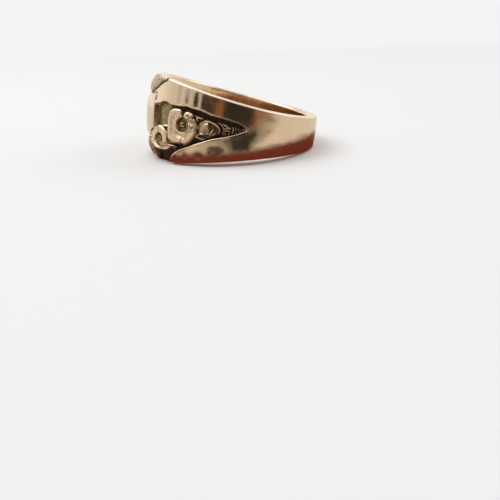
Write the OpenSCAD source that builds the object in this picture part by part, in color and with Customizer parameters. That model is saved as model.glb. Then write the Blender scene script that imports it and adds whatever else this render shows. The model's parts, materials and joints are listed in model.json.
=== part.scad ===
// A gold ring with a broad head, carved shoulders and a narrow back, cast in one piece.
// It lies on its lower rim with its head at -X, its back at +X and +Z up, in millimetres.
// Relief is placed on the band by the turn from the middle of the head, in degrees, and by
// the height from the middle of the band. A turn from 0 to 180 runs round the -Y side.

/* [Band] */
// Outside radius of the band at its crest
outer_r = 10.4; // [10.3:0.05:10.6]
// Radius of the finger hole
bore_r = 8.75; // [8.6:0.05:8.85]
// How far the finger hole lies behind the band's centre, which thickens the head
bore_shift = 0.3; // [0.15:0.05:0.35]
// Half the band's width halfway between the head and the back, before the sides dip
mid_half_w = 3.4; // [3.35:0.05:3.5]
// How much wider than that the head is, and how much narrower the back, on each rim
taper = 1.67; // [1.6:0.01:1.7]
// How far each rim dips towards the middle at the two sides
side_dip = 0.54; // [0.45:0.01:0.6]
// Radius of the band's crowned outer face, across its width
crown_r = 24; // [20:1:30]

/* [Head] */
// Radius of the rolled upper and lower borders of the head
roll_r = 2.4; // [2.3:0.05:2.45]
// Height at which the rolled borders start
roll_start = 2.5; // [2.4:0.05:2.6]
// Half the turn that the plain tablet covers
tablet_turn = 19; // [18:0.5:19.5]
// How far the tablet stands above the crest of the band
tablet_rise = 0.08; // [0.05:0.01:0.15]
// Width of the groove round the tablet
tablet_groove = 0.16; // [0.1:0.01:0.2]
// Height of the tablet's upper corner on the -Y side, and of its lower corner on the +Y side
tablet_long_corner = 2.75; // [2.6:0.05:2.8]
// Height of the other two corners, which makes its long edges slant
tablet_short_corner = 1.9; // [1.8:0.05:2.1]
// Radius of the groove between a rolled border and the smooth rail beside it
border_groove_r = 0.16; // [0.1:0.01:0.2]

/* [Carving] */
// Depth of the sunk ground of each shoulder
ground_depth = 0.6; // [0.5:0.05:0.7]
// Radius of the bead in the middle of a flower
bead_r = 0.24; // [0.2:0.01:0.28]

/* [Finger hole] */
// How much the finger hole opens out at each rim
ease_w = 0.25; // [0.2:0.05:0.3]
// How deep that opening out reaches
ease_h = 0.75; // [0.6:0.05:0.9]

/* [Hidden] */
$fn = 32;

// Lean of the finger hole once the ring lies on its tapered rim
lean = atan(taper / outer_r);
// Radius of the wide, shallow cylinder that each dipping rim is cut from
dip_r = outer_r * outer_r / (2 * side_dip);
// Radius of the sunk ground
ground_r = outer_r - ground_depth;
// Reach of the cutting shapes past the band
reach = 14;
// How far relief is rooted below the face that it stands on
root = 0.3;
// Turn straight out of which the sunk ground is cut
carve_turn = 50;
// How far the middle of the ring's length lies ahead of the band's own centre
length_shift = 0.061;

// First two columns of every table below
TURN = 0;
HEIGHT = 1;

// Sunk ground of a shoulder, from the tablet's upper corner to the tip and back below
GROUND_OUTLINE = [
    [19.5, 1.75], [26, 1.85], [32, 2.15], [45, 2.35], [60, 2.0], [75, 1.5], [89, 0.65],
    [90, 0.5], [89, 0.35], [80, -0.4], [70, -0.9], [60, -1.6], [50, -2.4], [45.5, -2.7],
    [42, -3.2], [40, -3.8], [19.5, -3.4]
];

// Flowers: turn, height, radius, radius of the eye, rise, petals, turn of the first petal
FLOWERS = [
    [47.3, -0.05, 1.95, 0.78, 0.62, 6, 15],
    [28, -1.85, 1.6, 0.7, 0.62, 6, 10]
];

// Leaves: turn, height, length, width, rise, slope against the band's length
LEAVES = [
    [34, -0.35, 1.2, 0.55, 0.4, -20],
    [36.5, -2.65, 1.5, 0.8, 0.45, -55],
    [43, -2.35, 1.9, 0.6, 0.35, 12],
    [60.5, 1.05, 1.1, 0.4, 0.4, -15],
    [61.5, -0.85, 1.5, 0.6, 0.45, 10],
    [66.5, 0.02, 2.5, 1.9, 0.58, -12],
    [73.5, 0.2, 1.5, 1.1, 0.5, 75],
    [77.5, 0.28, 1.3, 0.85, 0.45, -15],
    [81.3, 0.35, 1.0, 0.75, 0.42, 80],
    [84.5, 0.45, 0.9, 0.45, 0.38, 0]
];

// Round buds: turn, height, radius, height of their middle above the sunk ground
BUDS = [
    [51.6, 1.28, 0.5, 0.3],
    [54.2, 0.72, 0.3, 0.42],
    [55.6, 0.3, 0.26, 0.42],
    [56, -0.12, 0.22, 0.4]
];

// Border groove: turn and height of its bends, from the tablet up to the rim
BORDER_GROOVE = [[9, 2.82], [19, 3.02], [27, 3.85], [35, 4.9]];

// Leaves on a rolled border: how many, their size, and their slope against the border
border_leaves = 5;
border_leaf_long = 1.9;
border_leaf_wide = 0.75;
border_leaf_rise = 0.16;
border_leaf_slope = 42;
// Half the stretch of the border that they cover, and how far round the roll they lie
border_leaf_span = 2.7;
border_leaf_lift = 52;

// Puts a shape on the band, with its own +Z pointing outwards and its +X along the turn.
module on_band(turn, height, radius) {
    rotate([0, 0, turn - 90])
    rotate([90, 0, 0])
    translate([0, height, radius])
    children();
}

// Draws a shape, and once more turned half round about the middle of the head.
module both_ways() {
    children();
    rotate([180, 0, 0]) children();
}

// Point on the band's crowned face.
function band_point(turn, height) =
    let (r = outer_r - height * height / (2 * crown_r))
    [-r * cos(turn), -r * sin(turn), height];

// Outline on the band as seen from straight outside one turn of it.
function seen_from(turn, outline) =
    [for (p = outline) [outer_r * sin(p[TURN] - turn), p[HEIGHT]]];

// Space kept by the lower rim: the inside of a wide cylinder that lies on the resting plane.
module rim_limit() {
    translate([0, 0, -mid_half_w])
    rotate([0, -lean, 0])
    translate([0, 0, dip_r])
    rotate([0, 90, 0])
    cylinder(h = 4 * reach, r = dip_r, center = true, $fn = 720);
}

// Space inside a crowned outer face that is raised by some amount.
module crowned_band(rise) {
    rotate_extrude($fn = 180)
    intersection() {
        translate([outer_r + rise - crown_r, 0]) circle(r = crown_r, $fn = 720);
        translate([0, -reach / 2]) square([reach, reach]);
    }
}

// Corner taken off the head so that its upper border rolls over.
module roll_cut() {
    rotate([90, 0, 0])
    linear_extrude(height = 2 * reach, center = true)
    difference() {
        translate([-reach, roll_start]) square([reach - outer_r + roll_r, reach]);
        translate([roll_r - outer_r, roll_start]) circle(r = roll_r, $fn = 120);
    }
}

// The band before it is carved.
module blank() {
    difference() {
        intersection() {
            crowned_band(0);
            both_rims();
        }
        both_ways() roll_cut();
    }
}

module both_rims() {
    intersection() {
        rim_limit();
        rotate([180, 0, 0]) rim_limit();
    }
}

// Outline of the tablet, whose long edges slant, grown by some amount all round.
function tablet_outline(grow) =
    let (
        side = outer_r * sin(tablet_turn) + grow,
        long = tablet_long_corner + grow,
        short = tablet_short_corner + grow
    )
    [[side, long], [-side, short], [-side, -long], [side, -short]];

module tablet_prism(grow) {
    on_band(0, 0, 0) linear_extrude(height = reach) polygon(tablet_outline(grow));
}

module tablet_cut() {
    difference() {
        tablet_prism(tablet_groove);
        cylinder(h = 2 * reach, r = outer_r - 2 * tablet_groove, center = true, $fn = 180);
    }
}

module tablet() {
    intersection() {
        tablet_prism(0);
        crowned_band(tablet_rise);
    }
}

module ground_cut() {
    difference() {
        on_band(carve_turn, 0, 0)
        linear_extrude(height = reach)
        polygon(seen_from(carve_turn, GROUND_OUTLINE));
        cylinder(h = 2 * reach, r = ground_r, center = true, $fn = 180);
    }
}

// Round rod from one point to another, and its own radius further at both ends.
module rod(from, to, r) {
    way = to - from;
    translate(from)
    rotate([0, acos(way.z / norm(way)), atan2(way.y, way.x)])
    translate([0, 0, -r])
    cylinder(h = norm(way) + 2 * r, r = r);
}

module border_groove() {
    bends = [for (p = BORDER_GROOVE) band_point(p[TURN], p[HEIGHT])];
    for (i = [1:len(bends) - 1]) rod(bends[i - 1], bends[i], border_groove_r);
}

// Half of a flower cut through its middle: a raised lip, a dished ring, an eye and its bead.
module flower_profile(flower_r, eye_r, rise) {
    dish_r = flower_r;
    dish_floor = rise * 0.45;
    eye_floor = rise * 0.2;
    bevel = rise * 0.4;
    difference() {
        translate([0, -root]) square([flower_r, root + rise]);
        translate([eye_r, dish_floor + dish_r]) circle(r = dish_r, $fn = 64);
        translate([0, eye_floor]) square([eye_r, rise]);
        translate([flower_r, rise]) rotate(45) square(bevel, center = true);
    }
    intersection() {
        translate([0, eye_floor]) circle(r = bead_r);
        square([bead_r, rise]);
    }
}

// Open flower, its round lip notched between the petals.
module flower(flower_r, eye_r, rise, petals) {
    notch_r = flower_r * 0.16;
    notch_floor = rise * 0.15;
    difference() {
        rotate_extrude($fn = 64) flower_profile(flower_r, eye_r, rise);
        for (i = [0:petals - 1])
            rotate([0, 0, i * 360 / petals])
            translate([flower_r, 0, notch_floor])
            cylinder(h = rise, r = notch_r);
    }
}

// Pointed leaf with a ridge along it, the top of the lens shared by two spheres.
module leaf(long, wide, rise) {
    sunk = (long * long / 4 - rise * rise) / (2 * rise);
    aside = (long * long - wide * wide) / (4 * wide);
    leaf_r = norm([aside, rise + sunk]);
    intersection() {
        translate([0, aside, -sunk]) sphere(r = leaf_r, $fn = 64);
        translate([0, -aside, -sunk]) sphere(r = leaf_r, $fn = 64);
        translate([0, 0, -root]) cylinder(h = reach, r = long);
    }
}

module spray() {
    for (f = FLOWERS)
        let (flower_r = f[2], eye_r = f[3], rise = f[4], petals = f[5], first_turn = f[6])
        on_band(f[TURN], f[HEIGHT], ground_r)
        rotate([0, 0, first_turn])
        flower(flower_r, eye_r, rise, petals);
    for (l = LEAVES)
        let (long = l[2], wide = l[3], rise = l[4], slope = l[5])
        on_band(l[TURN], l[HEIGHT], ground_r)
        rotate([0, 0, slope])
        leaf(long, wide, rise);
    for (b = BUDS)
        let (bud_r = b[2], rise = b[3])
        on_band(b[TURN], b[HEIGHT], ground_r + rise)
        sphere(r = bud_r);
}

// Slanting leaves along the head's upper rolled border.
module border_spray() {
    step = 2 * border_leaf_span / (border_leaves - 1);
    for (i = [0:border_leaves - 1])
        translate([roll_r - outer_r, i * step - border_leaf_span, roll_start])
        rotate([0, border_leaf_lift - 90, 0])
        translate([0, 0, roll_r])
        rotate([0, 0, 90 + border_leaf_slope])
        leaf(border_leaf_long, border_leaf_wide, border_leaf_rise);
}

// Finger hole, opened out a little at both rims.
module finger_hole() {
    translate([bore_shift, 0, 0]) cylinder(h = 2 * reach, r = bore_r, center = true, $fn = 180);
    both_ways()
        translate([0, 0, -mid_half_w])
        rotate([0, -lean, 0])
        translate([bore_shift, 0, -ease_h])
        cylinder(h = 2 * ease_h, r1 = bore_r + 2 * ease_w, r2 = bore_r, $fn = 180);
}

module ring() {
    color("#d8b98c")
    translate([length_shift, 0, mid_half_w * cos(lean)])
    rotate([0, lean, 0])
    difference() {
        union() {
            difference() {
                blank();
                tablet_cut();
                both_ways() ground_cut();
                both_ways() border_groove();
            }
            tablet();
            both_ways() spray();
            intersection() {
                both_ways() border_spray();
                both_rims();
            }
        }
        finger_hole();
    }
}

ring();
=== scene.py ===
"""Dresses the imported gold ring: its cast band, its carved shoulders, its gold, and a pale studio."""

import json
import logging
import math
from contextlib import contextmanager
from dataclasses import dataclass
from enum import Enum
from typing import Callable, Iterator, Sequence

import bpy
import numpy as np
from mathutils import Matrix, Vector

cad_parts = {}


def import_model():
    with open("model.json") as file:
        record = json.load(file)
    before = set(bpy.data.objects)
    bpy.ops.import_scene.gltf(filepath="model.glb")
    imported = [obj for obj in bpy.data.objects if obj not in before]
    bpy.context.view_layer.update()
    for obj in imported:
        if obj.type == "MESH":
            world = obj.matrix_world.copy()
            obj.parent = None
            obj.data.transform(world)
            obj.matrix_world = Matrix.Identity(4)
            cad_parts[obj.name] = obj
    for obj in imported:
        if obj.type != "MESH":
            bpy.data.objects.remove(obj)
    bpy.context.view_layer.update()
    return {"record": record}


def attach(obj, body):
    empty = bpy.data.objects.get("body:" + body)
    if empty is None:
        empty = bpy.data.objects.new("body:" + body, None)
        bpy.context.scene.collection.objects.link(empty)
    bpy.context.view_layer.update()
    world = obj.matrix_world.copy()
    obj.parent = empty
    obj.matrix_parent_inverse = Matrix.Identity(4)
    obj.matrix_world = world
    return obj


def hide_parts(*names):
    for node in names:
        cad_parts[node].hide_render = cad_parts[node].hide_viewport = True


LOG = logging.getLogger("gold_ring")
MM = 0.001
NODE = "ring"
BODY = "root"
FAR = 1e3
TINY = 1e-6

Socket = bpy.types.NodeSocket
Reach = tuple[float, float]
Colour = tuple[float, float, float, float]
Places = tuple[tuple[float, float], ...]
Ridge = tuple[tuple[float, float, float, float], ...]
Creases = tuple[tuple[float, float, Places], ...]
Shapes = tuple[tuple[float, Colour], ...]


class Mark(Enum):
    """Numbers that each point of a piece carries and the gold's material reads."""

    # Patina in the hollows, together with painted shade along the sunk ground's walls, round the knob's
    # edge and in the beads' holes.
    TARNISH_AND_SHADE = "tarnish"
    SATIN = "satin"


class Mirrored(Enum):
    """Painted reflections: groups of dark shapes that the gold mirrors, in front and close by."""

    FRONT = "painted_shapes_in_front"
    CLOSE = "painted_shapes_close_by"


class Shoulder(Enum):
    """The two carved shoulders, by the side of the head that they lie on."""

    NEAR = 1
    FAR = -1


def ramp(low: float, high: float, value: np.ndarray) -> np.ndarray:
    """Smooth step from 0 at low to 1 at high.

    Args:
        low: Value at which the step starts.
        high: Value at which it ends.
        value: Where the step is read.

    Returns:
        The step, between 0 and 1.
    """
    part = np.clip((np.asarray(value, float) - low) / (high - low), 0.0, 1.0)
    return part * part * (3.0 - 2.0 * part)


def hill(value: np.ndarray, width: float) -> np.ndarray:
    """Bell curve, 1 at zero, of about that half width."""
    return np.exp(-((np.asarray(value, float) / width) ** 2))


def grain(a: np.ndarray, b: np.ndarray, pitch: float, seed: int) -> np.ndarray:
    """Smooth lumpy noise over a plane.

    Args:
        a: First coordinate, in mm.
        b: Second coordinate, in mm.
        pitch: Size of a lump, in mm.
        seed: Chooses the pattern.

    Returns:
        Noise between about -1 and 1.
    """
    dice = np.random.default_rng(seed)
    total = np.zeros(np.broadcast(a, b).shape)
    waves = 14
    for _ in range(waves):
        way = dice.uniform(0.0, 2.0 * math.pi)
        stretch = dice.uniform(0.7, 1.5) * 2.0 * math.pi / pitch
        start = dice.uniform(0.0, 2.0 * math.pi)
        total = total + np.sin(stretch * (a * math.cos(way) + b * math.sin(way)) + start)
    return total / math.sqrt(waves)


def distance_to_path(points: np.ndarray, path: np.ndarray) -> np.ndarray:
    """Least distance from points to an open path in the plane.

    Args:
        points: Array of shape (n, 2).
        path: Array of shape (m, 2).

    Returns:
        Array of n distances.
    """
    best = np.full(len(points), np.inf)
    for first, last in zip(path[:-1], path[1:]):
        way = last - first
        along = np.clip((points - first) @ way / (way @ way), 0.0, 1.0)
        gap = points - first - along[:, None] * way
        best = np.minimum(best, np.hypot(gap[:, 0], gap[:, 1]))
    return best


def distance_inside(points: np.ndarray, outline: np.ndarray) -> np.ndarray:
    """Signed distance to a closed outline in the plane, negative inside it.

    Args:
        points: Array of shape (n, 2).
        outline: Corners of the outline, of shape (m, 2).

    Returns:
        Array of n signed distances.
    """
    closed = np.vstack([outline, outline[:1]])
    gap = distance_to_path(points, closed)
    inside = np.zeros(len(points), bool)
    for (ax, ay), (bx, by) in zip(closed[:-1], closed[1:]):
        if ay == by:
            continue
        crosses = (ay > points[:, 1]) != (by > points[:, 1])
        at = ax + (points[:, 1] - ay) * (bx - ax) / (by - ay)
        inside ^= crosses & (points[:, 0] < at)
    return np.where(inside, -gap, gap)


def rounded(outline: Sequence[Sequence[float]]) -> np.ndarray:
    """Closed outline with its corners cut twice, so that it runs smoothly."""
    corners = np.array(outline, float)
    for _ in range(2):
        after = np.roll(corners, -1, axis=0)
        cuts = np.stack([0.75 * corners + 0.25 * after, 0.25 * corners + 0.75 * after], 1)
        corners = cuts.reshape(-1, 2)
    return corners


def quarter(share: np.ndarray) -> np.ndarray:
    """Quarter of a circle: 0 at 0, level at 1 and beyond."""
    left = 1.0 - np.clip(share, 0.0, 1.0)
    return np.sqrt(np.maximum(1.0 - left**2, 0.0))


class Bench:
    """Blender's own tools, used on one object at a time."""

    @staticmethod
    def clear() -> None:
        """Deselects everything."""
        bpy.ops.object.select_all(action="DESELECT")

    @staticmethod
    def take(*pieces: bpy.types.Object) -> None:
        """Selects these objects alone and makes the first one active."""
        Bench.clear()
        for piece in pieces:
            piece.select_set(True)
        bpy.context.view_layer.objects.active = pieces[0]

    @staticmethod
    @contextmanager
    def editing(piece: bpy.types.Object) -> Iterator[None]:
        """Holds one object in edit mode with all of its mesh selected."""
        Bench.take(piece)
        bpy.ops.object.mode_set(mode="EDIT")
        bpy.ops.mesh.select_all(action="SELECT")
        try:
            yield
        finally:
            bpy.ops.object.mode_set(mode="OBJECT")

    @staticmethod
    def points(piece: bpy.types.Object) -> np.ndarray:
        """Places of the mesh's points, of shape (n, 3)."""
        flat = np.empty(len(piece.data.vertices) * 3, np.float64)
        piece.data.vertices.foreach_get("co", flat)
        return flat.reshape(-1, 3)

    @staticmethod
    def put(piece: bpy.types.Object, points: np.ndarray) -> None:
        """Moves the mesh's points to these places."""
        piece.data.vertices.foreach_set("co", points.astype(np.float32).ravel())
        piece.data.update()

    @staticmethod
    def rest(piece: bpy.types.Object) -> None:
        """Lifts the few points that carving pushed below the floor back onto it."""
        points = Bench.points(piece)
        points[:, 2] = np.maximum(points[:, 2], 0.0)
        Bench.put(piece, points)

    @staticmethod
    def mark(piece: bpy.types.Object, mark: Mark, values: np.ndarray) -> None:
        """Writes one number a point as an attribute that the gold reads.

        Args:
            piece: The object whose mesh gets the numbers.
            mark: What the numbers are.
            values: One number a point.
        """
        layer = piece.data.attributes.get(mark.value)
        if layer is None:
            layer = piece.data.attributes.new(mark.value, "FLOAT", "POINT")
        layer.data.foreach_set("value", values.astype(np.float32).ravel())

    @staticmethod
    def copy(piece: bpy.types.Object, name: str) -> bpy.types.Object:
        """Copies an object with a mesh of its own."""
        twin = piece.copy()
        twin.data = piece.data.copy()
        twin.name = name
        bpy.context.scene.collection.objects.link(twin)
        return twin

    @staticmethod
    def join(pieces: Sequence[bpy.types.Object], name: str) -> bpy.types.Object:
        """Makes one object of several.

        Args:
            pieces: The objects to join.
            name: The name of the one that remains.

        Returns:
            The joined object.
        """
        Bench.take(*pieces)
        bpy.ops.object.join()
        joined = bpy.context.view_layer.objects.active
        joined.name = name
        joined.data.name = name
        return joined

    @staticmethod
    def smooth(piece: bpy.types.Object, angle: float) -> None:
        """Shades an object smooth, apart from edges sharper than an angle in degrees."""
        Bench.take(piece)
        bpy.ops.object.shade_smooth_by_angle(angle=math.radians(angle))


@dataclass(frozen=True)
class Lie:
    """How the band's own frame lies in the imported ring's frame, in mm."""

    lean: float
    shift: float
    rise: float

    @classmethod
    def from_record(cls, record: dict, shift: float, mid_half_width: float) -> "Lie":
        """Reads the lean off the finger hole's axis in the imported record.

        Args:
            record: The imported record.
            shift: How far the band's centre lies ahead of the middle of its length.
            mid_half_width: Half the band's width halfway round.

        Returns:
            The lie of the band.
        """
        axis = next(m for m in record["mounts"] if m["name"] == "finger_hole")["axis"]
        lean = math.atan2(axis[0], axis[2])
        return cls(lean, shift, mid_half_width * math.cos(lean))

    def matrix(self) -> Matrix:
        """Turns points of the band's frame in mm into the ring's frame in metres."""
        place = Matrix.Translation(Vector((self.shift, 0.0, self.rise)))
        return Matrix.Scale(MM, 4) @ place @ Matrix.Rotation(self.lean, 4, "Y")


@dataclass(frozen=True)
class BandForm:
    """Sizes of the band before it is carved, in mm and degrees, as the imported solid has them.

    The sunk ground gets shallower by tip_rise over tip_turns. The crowned face and the rolled
    borders blend over about the length blend, and no rim reaches higher than highest.
    """

    crest_r: float = 10.4
    bore_r: float = 8.75
    bore_shift: float = 0.3
    mid_half_width: float = 3.4
    taper: float = 1.67
    side_dip: float = 0.54
    crown_r: float = 24.0
    roll_r: float = 2.4
    roll_start: float = 2.5
    rim_wall: float = 0.30
    ground_depth: float = 0.6
    tip_turns: Reach = (66.0, 89.0)
    tip_rise: float = 0.45
    blend: float = 0.05
    steepest: float = 0.05
    highest: float = 5.4
    halvings: int = 30

    def half_width(self, turn: np.ndarray, radius: np.ndarray | float) -> np.ndarray:
        """Height of the rims' sloping plane at a turn and a distance from the band's axis."""
        angle = np.radians(turn)
        ahead = self.taper / self.crest_r * radius * np.cos(angle)
        aside = radius * np.sin(angle) / self.crest_r
        return self.mid_half_width + ahead - self.side_dip * aside**2

    def depth_at(self, turn: np.ndarray | float) -> np.ndarray:
        """Depth of the sunk ground, which runs shallower towards its tip."""
        return self.ground_depth * (1.0 - self.tip_rise * ramp(*self.tip_turns, turn))

    def bore_at(self, turn: np.ndarray) -> np.ndarray:
        """Distance from the band's axis to the finger hole's wall."""
        across = self.bore_shift * np.cos(np.radians(turn))
        return -across + np.sqrt(across**2 + self.bore_r**2 - self.bore_shift**2)

    def face_at(self, turn: np.ndarray, height: np.ndarray) -> np.ndarray:
        """Distance from the band's axis to its outer face, rolled borders of the head included."""
        crowned = self.crest_r - self.crown_r + np.sqrt(self.crown_r**2 - height**2)
        over = np.maximum(np.abs(height) - self.roll_start, 0.0)
        across = np.cos(np.radians(turn))
        sweep = np.sqrt(np.maximum(self.roll_r**2 - over**2, 0.0))
        ahead = (self.crest_r - self.roll_r + sweep) / np.maximum(across, self.steepest)
        rolled = np.where(across > self.steepest, ahead, FAR)
        gap = np.sqrt((crowned - rolled) ** 2 + self.blend**2)
        return 0.5 * (crowned + rolled - gap) + 0.25 * self.blend

    def rim_height(self, turn: np.ndarray) -> np.ndarray:
        """Height at which the outer face meets the rim's plane, while the wall is thick enough."""
        low = np.full(len(turn), self.roll_start)
        high = np.full(len(turn), self.highest)
        for _ in range(self.halvings):
            mid = (low + high) / 2
            face = self.face_at(turn, mid)
            under = (self.half_width(turn, face) > mid) & (face > self.bore_at(turn) + self.rim_wall)
            low = np.where(under, mid, low)
            high = np.where(under, high, mid)
        thin = self.half_width(turn, self.crest_r - self.rim_wall)
        return np.where(low > self.roll_start + TINY, low, thin)


@dataclass(frozen=True)
class Carving:
    """Low relief in the band's own face: grounds, tablet, grooves, ripples and wear, in mm.

    Turns are in degrees. ground is the outline of the sunk ground and border the line of the
    groove below the leafy border, as turns and heights. A row of waves or of dents holds the
    turn, height, size and depth of one soft hollow, or of a swelling where the depth is negative.
    A row of wear holds the height, pitch and seed of one unevenness. Two numbers of a reach are
    where something starts and where it is complete.
    """

    form: BandForm
    tablet_turn: float = 19.0
    tablet_rise: float = 0.08
    tablet_slope: float = 0.09
    tablet_bevel: float = 0.14
    tablet_long: float = 2.75
    tablet_short: float = 1.9
    groove_depth: float = 0.20
    groove_width: float = 0.10
    head_slope: float = 0.15
    head_turns: Reach = (17.0, 33.0)
    head_heights: Reach = (1.0, 3.3)
    wall_width: float = 0.16
    wall_foot: float = 0.03
    stipple: float = 0.022
    stipple_pitch: float = 0.30
    stipple_turns: Reach = (52.0, 60.0)
    lip_rise: float = 0.020
    lip_swell: float = 0.016
    lip_at: float = 0.07
    lip_width: float = 0.08
    lip_turns: Reach = (18.0, 20.0)
    lip_heights: Reach = (-3.4, -2.6)
    ground: Places = (
        (19.5, 1.73), (26.2, 1.85), (28.5, 2.02), (30.7, 2.18), (34.4, 2.19), (37.9, 1.99),
        (44.9, 2.02), (51.0, 2.09), (54.4, 1.97), (60.6, 1.88), (66.7, 1.57), (72.5, 1.43),
        (78.2, 1.28), (84.4, 1.00), (87.2, 0.78), (88.5, 0.62), (88.8, 0.46), (88.4, 0.32),
        (84.6, 0.02), (79.1, -0.36), (73.6, -0.66), (68.0, -0.96), (63.8, -1.28), (57.8, -1.76),
        (53.0, -2.20), (46.8, -2.70), (42.3, -3.20), (40.0, -3.60), (38.6, -4.10), (38.0, -4.80),
        (20.0, -4.90), (18.0, -4.10), (16.0, -3.45), (15.0, -2.60), (15.6, -1.60), (19.5, -1.10),
    )
    border: Places = (
        (-17.0, 2.45), (-8.0, 2.62), (0.0, 2.72), (8.1, 2.76), (14.1, 3.07), (18.2, 3.39),
        (21.0, 3.65), (23.4, 3.90), (27.3, 4.22), (30.5, 4.42), (31.0, 4.85),
    )
    border_depth: float = 0.17
    border_width: float = 0.12
    leaves_from: Reach = (-18.5, -16.5)
    leaves_to: Reach = (29.0, 30.5)
    rib_pitch: float = 0.80
    rib_slope: float = 52.0
    rib_rise: float = 0.10
    vein_depth: float = 0.03
    vein_width: float = 0.16
    barb_rise: float = 0.018
    barb_pitch: float = 0.42
    barb_lean: float = 0.55
    nick_turn: float = 31.2
    nick_depth: float = 0.10
    panel_end: float = 5.9
    crust_run: float = 0.9
    crust_heights: Reach = (-0.3, -1.1)
    # Painted shade along the ground's wall: where it runs and how wide it is.
    wall_shade_run: Reach = (4.6, 5.8)
    wall_shade_width: float = 0.22
    ground_film: float = 0.58
    ripple_rise: float = 0.027
    ripple_pitch: float = 6.3
    ripple_start: float = 46.8
    ripples_from: Reach = (36.0, 47.0)
    ripples_to: Reach = (58.0, 63.0)
    wear: tuple[tuple[float, float, int], ...] = ((0.006, 3.1, 11), (0.003, 1.3, 12))
    waves: Ridge = (
        (71.3, -2.05, 0.70, 0.014), (77.0, -1.50, 0.60, -0.008), (65.2, -2.25, 0.60, -0.010),
        (60.5, -3.15, 0.55, 0.045), (61.0, -2.00, 0.50, -0.014), (51.0, -3.40, 0.50, 0.028),
        (99.0, 0.70, 0.75, 0.030), (92.0, 1.60, 0.60, -0.015),
    )
    dents: Ridge = (
        (104, 0.9, 0.5, 0.018), (109, -0.3, 0.7, 0.015), (124, 0.4, 0.9, 0.02), (148, -0.5, 0.8, 0.02),
        (171, 0.3, 0.7, 0.02), (-110, 0.5, 0.8, 0.018), (-131, -0.6, 0.7, 0.02), (-158, 0.4, 0.9, 0.02),
    )

    def along(self, table: Sequence[Sequence[float]]) -> np.ndarray:
        """Turns a table of turn and height into arc length and height, in mm."""
        rows = np.array([row[:2] for row in table], float)
        rows[:, 0] = np.radians(rows[:, 0]) * self.form.crest_r
        return rows

    def shoulder(
        self, turn: np.ndarray, height: np.ndarray
    ) -> tuple[np.ndarray, np.ndarray, np.ndarray]:
        """Carving of one shoulder.

        Args:
            turn: Turn from the head towards this shoulder's tip, in degrees.
            height: Height on the band, the same way up on both shoulders.

        Returns:
            How far the face is raised, its patina and painted wall shade, and how near the ground is.
        """
        spot = np.column_stack([np.radians(turn) * self.form.crest_r, height])
        edge = distance_inside(spot, self.along(self.ground))
        inside = 1.0 - ramp(-self.wall_width, self.wall_foot, edge)
        depth = self.form.depth_at(turn)
        rough = grain(spot[:, 0], spot[:, 1], self.stipple_pitch, 5)
        stipple = self.stipple * rough * ramp(*self.stipple_turns, turn)
        lift = (-depth + stipple) * inside
        lift += self.lip(turn, height, edge)
        lift += self.ripple(turn, height, edge)
        for row in self.waves:
            lift -= self.hollow(turn, height, row) * ramp(0.05, 0.4, edge)
        return lift, inside * self.patina_and_wall_shade(turn, height, edge), 1.0 - ramp(0.05, 0.30, edge)

    def lip(self, turn: np.ndarray, height: np.ndarray, edge: np.ndarray) -> np.ndarray:
        """Rolled lip beside the sunk ground, a little higher along its upper edge."""
        lip = hill(edge - self.lip_at, self.lip_width)
        lip = lip * ramp(*self.lip_turns, turn) * ramp(*self.lip_heights, height)
        return (self.lip_rise + self.lip_swell * ramp(0.0, 0.6, height)) * lip

    def ripple(self, turn: np.ndarray, height: np.ndarray, edge: np.ndarray) -> np.ndarray:
        """Soft ripples that polishing left across the upper rail."""
        rail = ramp(0.10, 0.40, edge) * (height > 0)
        rail = rail * ramp(0.1, 0.4, self.form.half_width(turn, self.form.crest_r) - height)
        wave = np.sin(2.0 * math.pi * (turn - self.ripple_start) / self.ripple_pitch)
        run_in = ramp(*self.ripples_from, turn)
        run_out = 1.0 - ramp(*self.ripples_to, turn)
        return self.ripple_rise * wave * rail * run_in * run_out

    def hollow(self, turn: np.ndarray, height: np.ndarray, row: Sequence[float]) -> np.ndarray:
        """Depth of one soft round hollow, from its row of turn, height, size and depth."""
        at, level, size, deep = row
        length = np.radians(turn) * self.form.crest_r
        away = np.hypot(length - math.radians(at) * self.form.crest_r, height - level)
        return deep * hill(away, size)

    def patina_and_wall_shade(self, turn: np.ndarray, height: np.ndarray, edge: np.ndarray) -> np.ndarray:
        """Patina on the sunk ground, darker past the panel and low down, with painted shade along its
        wall.
        """
        length = np.radians(turn) * self.form.crest_r
        past_panel = ramp(self.panel_end, self.panel_end + self.crust_run, length)
        crusted = np.maximum(past_panel, ramp(*self.crust_heights, height))
        # Painted shade along the ground's wall, strongest past the panel.
        corner = np.exp(np.minimum(edge, 0.0) / self.wall_shade_width)
        corner = corner * (0.10 + 0.90 * ramp(*self.wall_shade_run, length))
        return self.ground_film + (1.0 - self.ground_film) * np.maximum(crusted, corner)

    def leafy_border(self, turn: np.ndarray, height: np.ndarray) -> tuple[np.ndarray, np.ndarray]:
        """Slanting veined leaves on the rolled border, below which a groove runs.

        Args:
            turn: Turn from the middle of the head towards the near shoulder, in degrees.
            height: Height on the band.

        Returns:
            How far the face is raised, and how dark it has tarnished.
        """
        groove_at = np.array(self.border)
        spot = np.column_stack([np.radians(turn) * self.form.crest_r, height])
        groove = distance_to_path(spot, self.along(self.border))
        lift = -self.border_depth * hill(groove, self.border_width)
        dark = hill(groove, 0.15)
        low = np.interp(turn, groove_at[:-1, 0], groove_at[:-1, 1])
        rim = self.form.rim_height(turn)
        ahead = ramp(*self.leaves_from, turn) * (1.0 - ramp(*self.leaves_to, turn))
        strip = ahead * ramp(0.06, 0.22, height - low) * ramp(0.05, 0.30, rim - height)
        nick = hill((turn - self.nick_turn) * 0.18, 0.10) * ramp(0.0, 0.1, height - low)
        rib, shade = self.ribs(turn, height)
        lift += strip * rib - self.nick_depth * nick
        shade = np.clip(strip * shade, 0.0, 1.0)
        return lift, np.maximum(np.maximum(dark, 0.8 * nick), shade)

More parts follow.
